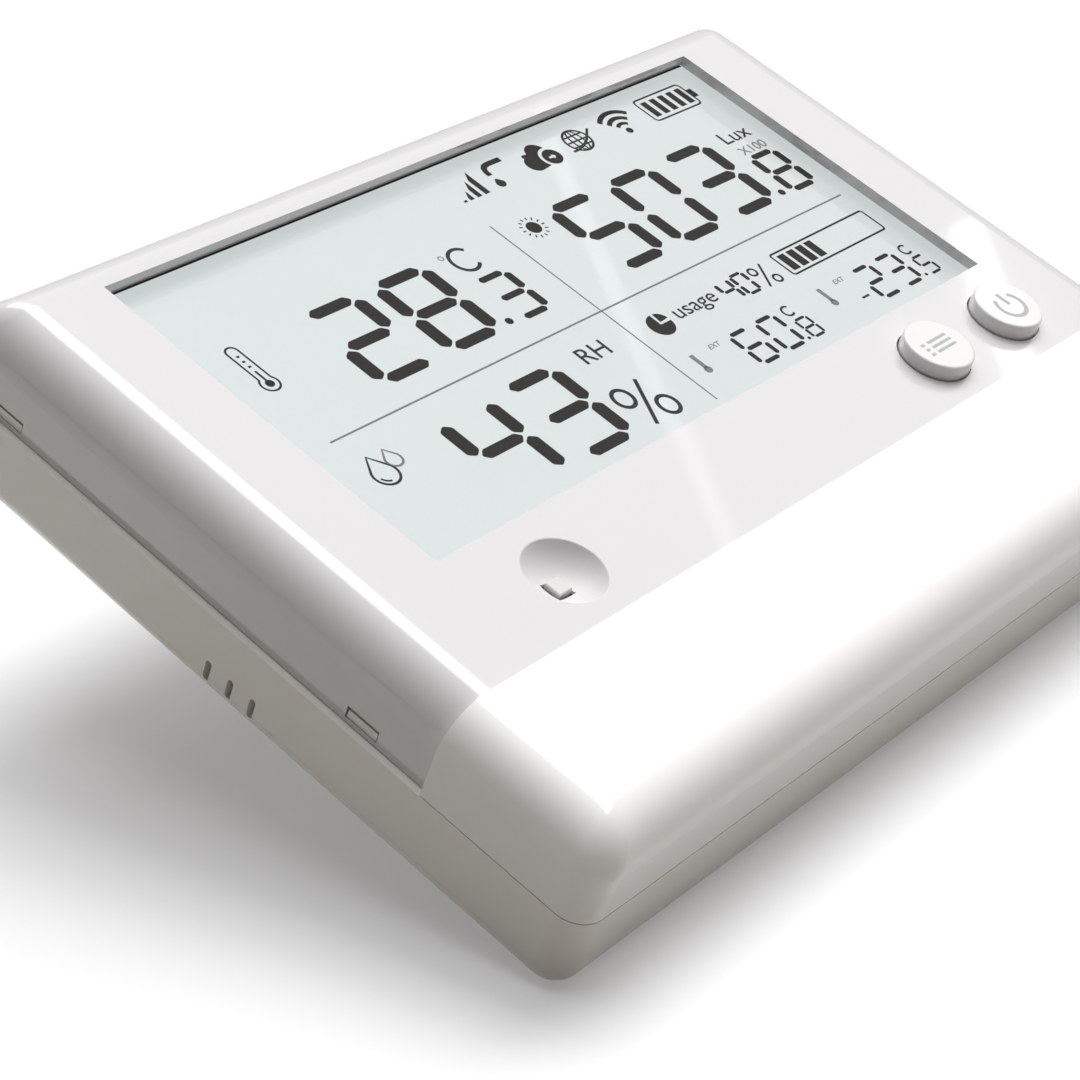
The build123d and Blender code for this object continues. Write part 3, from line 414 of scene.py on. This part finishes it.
def lensFinish():
    material, start, spot = openFinish("lensClear")
    haze = noise(start, spot, lensLook["hazeScale"], lensLook["detail"])
    return closeFinish(material, start, {
        "Base Color": blendColour(start, haze, lensLook["clear"], lensLook["haze"]),
        "Roughness": lensLook["rough"] + haze * lensLook["roughSpread"],
        "Alpha": lensLook["alpha"] + haze * lensLook["alphaSpread"]})


# Floor: pale, a little light of its own to the camera so that it reads as a white sweep, more of
# it far from the object, and duller to the light that it throws back
floorLook = {"size": 8.0, "seen": rgb(0.655, 0.66, 0.67), "thrown": rgb(0.318, 0.298, 0.262),
             "stain": rgb(0.6, 0.6, 0.6), "stainScale": 3.0, "stainShare": 0.03,
             "ownLight": 0.245, "farFrom": 0.4, "farTo": 0.6, "farLight": 0.6}


def rayIs(start, kind):
    return start.node("ShaderNodeLightPath", out="Is " + kind + " Ray")


def seenDirectly(start):
    seen = rayIs(start, "Camera") + rayIs(start, "Glossy") + rayIs(start, "Transmission")
    return start.node("ShaderNodeMath", {"operation": "MINIMUM"}, {0: seen, 1: 1.0})


def setFloor():
    bpy.ops.mesh.primitive_grid_add(x_subdivisions=4, y_subdivisions=4, size=floorLook["size"])
    floor = bpy.context.object
    floor.name = "studioFloor"
    material, start, spot = openFinish("floorPale")
    seen = seenDirectly(start)
    cloud = noise(start, spot, floorLook["stainScale"])
    tone = blendColour(start, cloud * floorLook["stainShare"], floorLook["seen"],
                       floorLook["stain"])
    base = start.node("ShaderNodeBsdfDiffuse", None, {
        "Color": blendColour(start, seen, floorLook["thrown"], tone)})
    away = start.node("ShaderNodeVectorMath", {"operation": "LENGTH"}, {0: spot}, "Value")
    far = start.node("ShaderNodeMapRange", None, {
        "Value": away, "From Min": floorLook["farFrom"], "From Max": floorLook["farTo"]})
    glow = start.node("ShaderNodeEmission", None, {
        "Strength": (seen * floorLook["ownLight"]
                     + far * rayIs(start, "Camera") * floorLook["farLight"])})
    showOn(start, "ShaderNodeOutputMaterial",
           start.node("ShaderNodeAddShader", None, {0: base, 1: glow}))
    floor.data.materials.append(material)


def setWorld():
    world = bpy.data.worlds.new("paleRoom")
    bpy.context.scene.world = world
    world.use_nodes = True
    world.node_tree.nodes.clear()
    start = Wire(world.node_tree)
    seen = seenDirectly(start)
    level = studio["worldLevel"]
    shade = start.node("ShaderNodeBackground", None, {
        "Color": blendColour(start, seen, studio["worldColour"], rgb(1, 1, 1)),
        "Strength": level + seen * (1.0 - level)})
    showOn(start, "ShaderNodeOutputWorld", shade)


nodeFinishes = {
    "shellWhite": ["rear_shell", "battery_door", "stand_leg"],
    "coverWhite": ["front_cover"],
    "chinWhite": ["chin_cover"],
    "keyWhite": ["menu_button", "power_button"],
    "guideMilk": ["light_guide"],
    "diffuserWhite": ["light_panel"],
    "frameGrey": ["display_clamp"],
    "jackBlack": ["probe_jack"],
    "chipBlack": ["controller_chip", "buzzer", "climate_sensor"],
    "ribbonAmber": ["display_cable", "button_cable"],
    "shieldTin": ["radio_module", "power_socket"],
    "springNickel": ["key_domes", "left_contact", "right_contact"],
    "screwZinc": ["hinge_pin", "case_screws", "board_screws", "clamp_screws"],
    "boardGreen": ["main_board", "sensor_board", "button_board"],
    "cellSleeve": ["battery_cell_1", "battery_cell_2", "battery_cell_3", "battery_cell_4"],
    "displayField": ["lcd_glass"],
    "lensClear": ["display_lens"],
}


def finishNodes():
    made = {name: plastic(name) for name in plastics}
    made.update({name: metal(name) for name in metals})
    made.update({"boardGreen": boardFinish(), "cellSleeve": cellFinish(),
                 "displayField": fieldFinish(), "lensClear": lensFinish()})
    for finish, names in nodeFinishes.items():
        for name in names:
            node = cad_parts[name]
            node.data.materials.clear()
            node.data.materials.append(made[finish])


# Marks. Each is drawn flat at the origin in millimetres, given a little thickness, joined with
# others of its ink, and then laid on its surface.
pen = {"thickness": 0.03, "roundness": 2, "cornerSteps": 5, "mergeWithin": 0.001}


def outlineOf(points):
    # a single corner point pulled out along the points; it stays in edit mode
    bpy.ops.object.select_all(action="DESELECT")
    bpy.ops.mesh.primitive_plane_add(size=mm)
    shape = bpy.context.object
    bpy.ops.object.mode_set(mode="EDIT")
    bpy.ops.mesh.select_all(action="SELECT")
    bpy.ops.mesh.merge(type="CENTER")
    bpy.ops.transform.translate(value=(points[0][0] * mm, points[0][1] * mm, 0))
    for (x0, y0), (x1, y1) in zip(points, points[1:]):
        step = ((x1 - x0) * mm, (y1 - y0) * mm, 0)
        bpy.ops.mesh.extrude_vertices_move(TRANSFORM_OT_translate={"value": step})
    return shape


def raiseFace(thickness):
    # gives the flat face in edit mode its thickness
    bpy.ops.mesh.select_all(action="SELECT")
    bpy.ops.mesh.extrude_region_move(TRANSFORM_OT_translate={"value": (0, 0, thickness * mm)})
    bpy.ops.mesh.select_all(action="SELECT")
    bpy.ops.mesh.normals_make_consistent(inside=False)
    bpy.ops.object.mode_set(mode="OBJECT")


def penLine(points, width):
    # the outline gets a round section, which is then flattened
    outlineOf(points)
    if points[0] == points[-1]:
        bpy.ops.mesh.select_all(action="SELECT")
        bpy.ops.mesh.remove_doubles(threshold=pen["mergeWithin"] * mm)
    bpy.ops.object.mode_set(mode="OBJECT")
    bpy.ops.object.convert(target="CURVE")
    line = bpy.context.object
    line.data.bevel_depth = width / 2 * mm
    line.data.bevel_resolution = pen["roundness"]
    line.data.use_fill_caps = True
    bpy.ops.object.convert(target="MESH")
    line = bpy.context.object
    bpy.ops.transform.resize(value=(1, 1, pen["thickness"] / width))
    bpy.ops.object.transform_apply(location=True, rotation=True, scale=True)
    return line


def plate(points, thickness=pen["thickness"]):
    shape = outlineOf(points)
    bpy.ops.mesh.select_all(action="SELECT")
    bpy.ops.mesh.edge_face_add()
    raiseFace(thickness)
    return shape


def arcPoints(x, y, radius, fromAngle, toAngle, steps, squash=1.0):
    out = []
    for i in range(steps + 1):
        angle = math.radians(fromAngle + (toAngle - fromAngle) * i / steps)
        out.append((x + radius * math.cos(angle), y + radius * squash * math.sin(angle)))
    if abs(toAngle - fromAngle) == 360:
        out[-1] = out[0]
    return out


def box(x0, y0, x1, y1):
    return plate([(x0, y0), (x1, y0), (x1, y1), (x0, y1)])


def disc(x, y, radius, steps=24):
    return plate(arcPoints(x, y, radius, 0, 360 - 360 / steps, steps - 1))


def ring(x, y, radius, width, steps=24, squash=1.0):
    return penLine(arcPoints(x, y, radius, 0, 360, steps, squash), width)


def bars(x, pitch, count, width, low, high):
    return [box(x + i * pitch, low, x + i * pitch + width, high) for i in range(count)]


def roundedFrame(x0, y0, x1, y1, radius, width):
    steps = pen["cornerSteps"]
    outline = (arcPoints(x1 - radius, y1 - radius, radius, 0, 90, steps)
               + arcPoints(x0 + radius, y1 - radius, radius, 90, 180, steps)
               + arcPoints(x0 + radius, y0 + radius, radius, 180, 270, steps)
               + arcPoints(x1 - radius, y0 + radius, radius, 270, 360, steps))
    return penLine(outline + [outline[0]], width)


def pickPoints(thing, test):
    # leaves the piece in edit mode, with the points that pass the test picked
    bpy.ops.object.mode_set(mode="OBJECT")
    for part in (thing.data.polygons, thing.data.edges):
        part.foreach_set("select", [False] * len(part))
    for vertex in thing.data.vertices:
        vertex.select = test(vertex.co)
    bpy.ops.object.mode_set(mode="EDIT")


# One display segment: a six-sided bar with its corners eased by a share of its width
segmentCorner = {"share": 0.12, "steps": 2}


def slug(length, width, tip):
    bpy.ops.object.select_all(action="DESELECT")
    bpy.ops.mesh.primitive_circle_add(vertices=6, radius=mm, fill_type="NGON")
    bar = bpy.context.object
    bpy.ops.object.mode_set(mode="EDIT")
    bpy.ops.mesh.select_all(action="SELECT")
    bpy.ops.transform.rotate(value=math.radians(30), orient_axis="Z", center_override=(0, 0, 0))
    bpy.ops.transform.resize(value=(2 * tip, width / math.sqrt(3), 1))
    for side in (-1, 1):
        pickPoints(bar, lambda co: co.x * side > 0)
        bpy.ops.transform.translate(value=(side * (length / 2 - 2 * tip) * mm, 0, 0))
    bpy.ops.mesh.select_all(action="SELECT")
    bpy.ops.mesh.bevel(offset=width * segmentCorner["share"] * mm,
                       segments=segmentCorner["steps"], affect="VERTICES")
    raiseFace(pen["thickness"])
    return bar


def copyTo(shape, x, y, quarter):
    twin = shape.copy()
    twin.data = shape.data.copy()
    bpy.context.scene.collection.objects.link(twin)
    turn = Matrix.Rotation(math.pi / 2 if quarter else 0.0, 4, "Z")
    twin.data.transform(Matrix.Translation((x * mm, y * mm, 0)) @ turn)
    return twin


def word(text, x, y, height, width, lean=0.0):
    # x and y are the lower left corner of the first letter
    bpy.ops.object.select_all(action="DESELECT")
    bpy.ops.object.text_add()
    letters = bpy.context.object
    letters.data.body = text
    letters.data.size = mm
    letters.data.extrude = pen["thickness"] / 2 * mm
    letters.data.shear = lean
    bpy.ops.object.convert(target="MESH")
    letters = bpy.context.object
    low = Vector([min(v.co[i] for v in letters.data.vertices) for i in range(3)])
    high = Vector([max(v.co[i] for v in letters.data.vertices) for i in range(3)])
    wide = width * mm / (high.x - low.x)
    tall = height * mm / (high.y - low.y)
    letters.data.transform(Matrix.Translation((x * mm, y * mm, pen["thickness"] / 2 * mm))
                           @ Matrix.Diagonal((wide, tall, 1, 1))
                           @ Matrix.Translation((-low.x, -low.y, 0)))
    return letters


def finishPiece(name, parts, finish, body, place):
    bpy.ops.object.select_all(action="DESELECT")
    for part in parts:
        part.select_set(True)
    bpy.context.view_layer.objects.active = parts[0]
    if len(parts) > 1:
        bpy.ops.object.join()
    piece = bpy.context.view_layer.objects.active
    piece.data.materials.clear()
    piece.data.transform(place)
    piece.data.materials.append(finish)
    for polygon in piece.data.polygons:
        polygon.material_index = 0
    piece.name = name
    piece.data.name = name
    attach(piece, body)
    print("made", name, len(piece.data.polygons), "faces")
    return piece


# The display is drawn from the lower left corner of its window, on the front of its glass
window = {"left": -50.4, "bottom": -9.85, "width": 100.8, "height": 48.3, "surface": 18.515,
          "lens": 19.6}
onDisplay = casePlace @ Matrix.Translation((window["left"] * mm, window["bottom"] * mm,
                                            window["surface"] * mm))

segmentSets = {"0": "abcdef", "2": "abged", "3": "abgcd", "4": "fgbc", "5": "afgcd",
               "6": "afgedc", "8": "abcdefg"}

# length, width and tip of a segment, and how far apart a digit's uprights and rows stand
numberStyles = {
    "large": {"across": (6.58, 1.52, 0.72), "upright": (5.27, 1.9, 0.64), "span": 7.38,
              "rise": 5.92},
    "small": {"across": (3.82, 0.9, 0.32), "upright": (3.03, 1.14, 0.32), "span": 4.5,
              "rise": 3.54},
    "probe": {"across": (2.72, 0.6, 0.25), "upright": (2.15, 0.66, 0.22), "span": 3.4,
              "rise": 2.66},
    "usage": {"across": (1.9, 0.44, 0.15), "upright": (1.45, 0.56, 0.15), "span": 2.15,
              "rise": 1.72},
    "fine": {"across": (1.75, 0.38, 0.12), "upright": (1.45, 0.4, 0.12), "span": 2.1,
             "rise": 1.6},
}

# style, digit, centre x and middle bar y
numbers = [
    ("large", "2", 22.42, 29.87), ("large", "8", 33.52, 29.87), ("small", "3", 43.65, 27.2),
    ("large", "4", 22.40, 9.93), ("large", "3", 33.50, 9.93),
    ("large", "5", 64.05, 29.87), ("large", "0", 75.20, 29.87), ("large", "3", 86.35, 29.87),
    ("small", "8", 96.45, 27.2),
    ("usage", "4", 68.95, 14.5), ("usage", "0", 72.0, 14.5),
    ("probe", "6", 63.22, 6.25), ("probe", "0", 68.25, 6.25), ("fine", "8", 72.73, 5.06),
    ("probe", "2", 88.5, 6.25), ("probe", "3", 93.35, 6.25), ("fine", "5", 98.0, 5.06),
]
decimalPoints = [(39.47, 24.1, 0.53), (92.22, 24.1, 0.53), (70.8, 3.7, 0.24),
                 (96.1, 3.75, 0.24)]


def makeNumbers():
    parts = []
    for style, look in numberStyles.items():
        across = slug(*look["across"])
        upright = slug(*look["upright"])
        for wanted, digit, x, y in numbers:
            if wanted != style:
                continue
            half, rise = look["span"] / 2, look["rise"]
            spots = {"a": (x, y + rise, False), "g": (x, y, False), "d": (x, y - rise, False),
                     "f": (x - half, y + rise / 2, True), "b": (x + half, y + rise / 2, True),
                     "e": (x - half, y - rise / 2, True), "c": (x + half, y - rise / 2, True)}
            for segment in segmentSets[digit]:
                sx, sy, turned = spots[segment]
                parts.append(copyTo(upright if turned else across, sx, sy, turned))
        for pattern in (across, upright):
            bpy.data.objects.remove(pattern)
    for point in decimalPoints:
        parts.append(disc(*point))
    return parts


# Icons, in mm from the window's lower left corner. Arcs give middle, radius, the angles that
# they run between and their steps; boxes give their two corners.
signal = {"foot": 42.0, "bars": ((51.75, 52.25, 42.3, 42.35), (52.8, 53.45, 42.5, 43.6),
                                 (54.1, 54.85, 43.6, 45.0), (55.45, 56.3, 44.9, 46.3))}
tap = {"stem": ((58.9, 44.35), (58.9, 45.0), (59.1, 45.6), (59.55, 46.0), (60.2, 46.15),
                (61.5, 46.15), (62.6, 46.15)), "line": 0.82,
       "neck": ((58.75, 43.55), (59.0, 43.55)), "drop": (58.95, 42.65, 0.68, 20, -200, 14)}
cloud = {"lobes": ((66.2, 43.4, 1.42, 270, 118, 12), (65.85, 44.95, 0.36, 230, 60, 6),
                   (68.1, 44.9, 1.55, 168, 18, 12)),
         "cut": (69.4, 43.35, 1.85, 84, 218, 14)}
badge = {"middle": (69.4, 43.35), "radius": 1.38, "steps": 20, "thickness": 0.05, "lift": 0.02,
         "arrow": ((-0.62, 0.0), (-0.62, 0.2), (0.0, 0.2), (0.0, 0.52), (0.62, 0.0))}
globe = {"middle": (75.3, 44.2), "radius": 2.0, "steps": 32, "line": 0.34, "axis": 0.28,
         "bow": 0.95, "fine": 0.27, "rows": ((45.2, 1.7), (44.2, 2.0), (43.2, 1.7)),
         "stroke": ((72.9, 42.75), (73.8, 42.75), (75.2, 43.1), (76.6, 43.8), (77.8, 44.8),
                    (78.5, 45.4)), "strokeLine": 0.36}
wireless = {"middle": (83.65, 42.65), "spread": (44, 136, 14), "dot": (83.65, 42.5, 0.52),
            "arcs": ((1.35, 0.56), (2.5, 0.68), (3.75, 0.72))}
battery = {"cells": (89.7, 1.74, 5, 1.02, 42.75, 45.8), "tip": (98.4, 43.4, 99.25, 45.0),
           "frame": (88.95, 42.1, 98.3, 46.5, 0.6, 0.28)}
gauge = {"cells": (80.2, 1.87, 4, 1.32, 12.95, 15.9),
         "frame": (79.45, 12.4, 99.15, 16.45, 0.4, 0.3)}
pie = {"most": (55.7, 14.6, 1.82, 90, 360, 30), "quarter": (56.05, 14.95, 1.45, 5, 85, 10)}
sun = {"middle": (55.9, 34.66), "radius": 1.02, "rays": 14, "from": 1.45, "to": 1.9,
       "line": 0.2}
thermometer = {"bulb": (7.25, 29.95, 1.15, 130, 410, 28), "top": (7.25, 35.6, 0.8, 0, 180, 12),
               "line": 0.27, "fill": (7.25, 29.95, 0.55), "column": ((7.25, 30.2), (7.25, 32.2)),
               "rungs": (33.0, 33.9, 34.8), "rungEnds": (7.05, 7.45), "rungLine": 0.3}
drops = {"turn": (155, 385, 26), "big": (7.75, 16.35, 13.45, 1.6, 0.33),
         "small": (10.2, 16.35, 14.6, 1.02, 0.3),
         "shine": (7.75, 13.45, 1.05, 195, 265, 8), "shineLine": 0.27}
percentSigns = (
    {"rings": ((40.95, 8.15), (45.05, 4.85)), "ring": (1.28, 0.54, 24, 1.15),
     "slash": ((41.15, 3.3), (44.85, 9.75)), "line": 0.52},
    {"rings": ((74.65, 15.4), (76.85, 13.1)), "ring": (0.62, 0.34, 18, 1.0),
     "slash": ((74.6, 12.45), (76.75, 16.1)), "line": 0.34},
)
degreeLetters = (((43.2, 34.5, 1.8, 40, 320, 28, 1.08), 0.5),
                 ((72.55, 8.35, 0.8, 45, 315, 16), 0.32), ((97.75, 8.35, 0.8, 45, 315, 16), 0.32))
degreeRing = (40.8, 35.95, 0.35, 0.16, 12)
minusSign = (((83.9, 5.06), (85.25, 5.06)), 0.34)
words = (("RH", 41.9, 14.2, 2.45, 4.55), ("Lux", 93.85, 34.2, 2.2, 5.3),
         ("usage", 58.8, 13.35, 2.2, 7.6))
paleWords = (("X100", 94.1, 31.6, 1.45, 5.1), ("EXT", 57.6, 8.5, 0.7, 2.1, 0.25),
             ("EXT", 82.8, 8.5, 0.7, 2.1, 0.25))
dividers = ((((6.1, 19.9), (99.5, 19.9)), 0.26), (((51.03, 2.4), (51.03, 37.4)), 0.22))
probes = {"middles": (54.4, 79.7), "half": 0.3, "low": 6.6, "high": 9.1, "bulb": (6.35, 0.55)}


def makeDarkMarks():
    parts = makeNumbers()
    for left, right, leftTop, rightTop in signal["bars"]:
        parts.append(plate([(left, signal["foot"]), (right, signal["foot"]),
                            (right, rightTop), (left, leftTop)]))
    parts.append(penLine(tap["stem"], tap["line"]))
    parts.append(plate(list(tap["neck"]) + arcPoints(*tap["drop"])))
    parts.append(plate([point for arc in cloud["lobes"] + (cloud["cut"],)
                        for point in arcPoints(*arc)]))
    for radius, width in wireless["arcs"]:
        arc = arcPoints(*wireless["middle"], radius, *wireless["spread"])
        parts.append(penLine(arc, width))
    parts.append(disc(*wireless["dot"], 18))
    parts += bars(*battery["cells"]) + [box(*battery["tip"])] + bars(*gauge["cells"])
    for arc in (pie["most"], pie["quarter"]):
        parts.append(plate([arc[:2]] + arcPoints(*arc)))
    parts.append(disc(*sun["middle"], sun["radius"]))
    parts.append(disc(*thermometer["fill"]))
    return parts


def drop(x, tipY, y, radius, width):
    # a circle drawn up into a tip
    outline = arcPoints(x, y, radius, *drops["turn"])
    return penLine([(x, tipY)] + outline + [(x, tipY)], width)


def makeGlobe():
    x, y = globe["middle"]
    radius = globe["radius"]
    parts = [ring(x, y, radius, globe["line"], globe["steps"]),
             penLine([(x, y + radius), (x, y - radius)], globe["axis"])]
    for bow in (globe["bow"], -globe["bow"]):
        parts.append(penLine([(x + bow * math.cos(math.radians(turn)),
                               y + radius * math.sin(math.radians(turn)))
                              for turn in range(-90, 91, 15)], globe["fine"]))
    for row, half in globe["rows"]:
        parts.append(penLine([(x - half, row), (x + half, row)], globe["fine"]))
    parts.append(penLine(globe["stroke"], globe["strokeLine"]))
    return parts


def makeMidMarks():
    parts = [roundedFrame(*gauge["frame"]), roundedFrame(*battery["frame"])]
    bulb = arcPoints(*thermometer["bulb"])
    parts.append(penLine(bulb[:-1] + arcPoints(*thermometer["top"]) + [bulb[0]],
                         thermometer["line"]))
    parts.append(penLine(thermometer["column"], thermometer["rungLine"]))
    left, right = thermometer["rungEnds"]
    for y in thermometer["rungs"]:
        parts.append(penLine([(left, y), (right, y)], thermometer["rungLine"]))
    parts.append(drop(*drops["big"]))
    parts.append(penLine(arcPoints(*drops["shine"]), drops["shineLine"]))
    parts += makeGlobe()
    for sign in percentSigns:
        for x, y in sign["rings"]:
            parts.append(ring(x, y, *sign["ring"]))
        parts.append(penLine(sign["slash"], sign["line"]))
    for arc, width in degreeLetters:
        parts.append(penLine(arcPoints(*arc), width))
    for letters in words:
        parts.append(word(*letters))
    parts.append(penLine(*minusSign))
    x, y = sun["middle"]
    for i in range(sun["rays"]):
        turn = math.radians(i * 360 / sun["rays"])
        parts.append(penLine([(x + reach * math.cos(turn), y + reach * math.sin(turn))
                              for reach in (sun["from"], sun["to"])], sun["line"]))
    return parts


def makePaleMarks():
    parts = [penLine(*divider) for divider in dividers]
    parts.append(drop(*drops["small"]))
    parts.append(ring(*degreeRing))
    for x in probes["middles"]:
        parts.append(box(x - probes["half"], probes["low"], x + probes["half"], probes["high"]))
        parts.append(disc(x, *probes["bulb"], 18))
    for letters in paleWords:
        parts.append(word(*letters))
    return parts


def makeBadge():
    # at the cloud's corner: two half discs that leave an arrow clear between them
    x, y = badge["middle"]
    halves = []
    for side in (1, -1):
        rim = arcPoints(x, y, badge["radius"], 0, side * 180, badge["steps"])
        arrow = [(x + across, y + side * up) for across, up in badge["arrow"]]
        halves.append(plate(rim + arrow, badge["thickness"]))
    return halves


# Thin dark line on the lens, close under the window's walls at the left and the top
windowLine = {"width": 0.3, "corner": 0.3}


def makeWindowLine():
    line, corner = windowLine["width"] / 2, windowLine["corner"]
    left, low, right, high = line, line, window["width"] - line, window["height"] - line
    turn = arcPoints(left + corner, high - corner, corner, 180, 90, pen["cornerSteps"])
    return [penLine([(left, low)] + turn + [(right, high)], windowLine["width"])]


# Marks on the keys, from the middle of each key's top
menuLines = {"rows": (0.85, 0.0, -0.85), "ends": (-1.5, 2.2), "line": 0.42,
             "dot": (-2.75, -2.15), "dotHalf": 0.2}
powerSign = {"ring": (0, -0.25, 2.0, 130, 410, 30), "ringLine": 0.6,
             "stroke": ((0, -0.1), (0, 2.0)), "strokeLine": 0.66}
keyTops = {"menu_key": (28.7, -17.85, 22.9), "power_key": (44.1, -17.85, 22.9)}


def makeMenuMark():
    (start, end), (left, right) = menuLines["ends"], menuLines["dot"]
    half = menuLines["dotHalf"]
    lines = [penLine([(start, y), (end, y)], menuLines["line"]) for y in menuLines["rows"]]
    return lines + [box(left, y - half, right, y + half) for y in menuLines["rows"]]


def makePowerMark():
    return [penLine(arcPoints(*powerSign["ring"]), powerSign["ringLine"]),
            penLine(powerSign["stroke"], powerSign["strokeLine"])]


def makeMarks():
    made = {name: ink(name) for name in inks}
    onBadge = onDisplay @ Matrix.Translation((0, 0, badge["lift"] * mm))
    onLens = onDisplay @ Matrix.Translation((0, 0, (window["lens"] - window["surface"]) * mm))
    for name, make, finish, place in (("displayDark", makeDarkMarks, "inkDark", onDisplay),
                                      ("displayMid", makeMidMarks, "inkMid", onDisplay),
                                      ("displayPale", makePaleMarks, "inkPale", onDisplay),
                                      ("displayBadge", makeBadge, "inkDark", onBadge),
                                      ("windowFootLine", makeWindowLine, "inkMid", onLens)):
        finishPiece(name, make(), made[finish], "case", place)
    for name, make, body in (("menuMark", makeMenuMark, "menu_key"),
                             ("powerMark", makePowerMark, "power_key")):
        place = casePlace @ Matrix.Translation([side * mm for side in keyTops[body]])
        finishPiece(name, make(), made["keyMark"], body, place)


setCamera()
setLights()
setWorld()
setFloor()
print("camera, lights and floor set")
finishNodes()
print("finishes set")
makeMarks()
print("marks made")
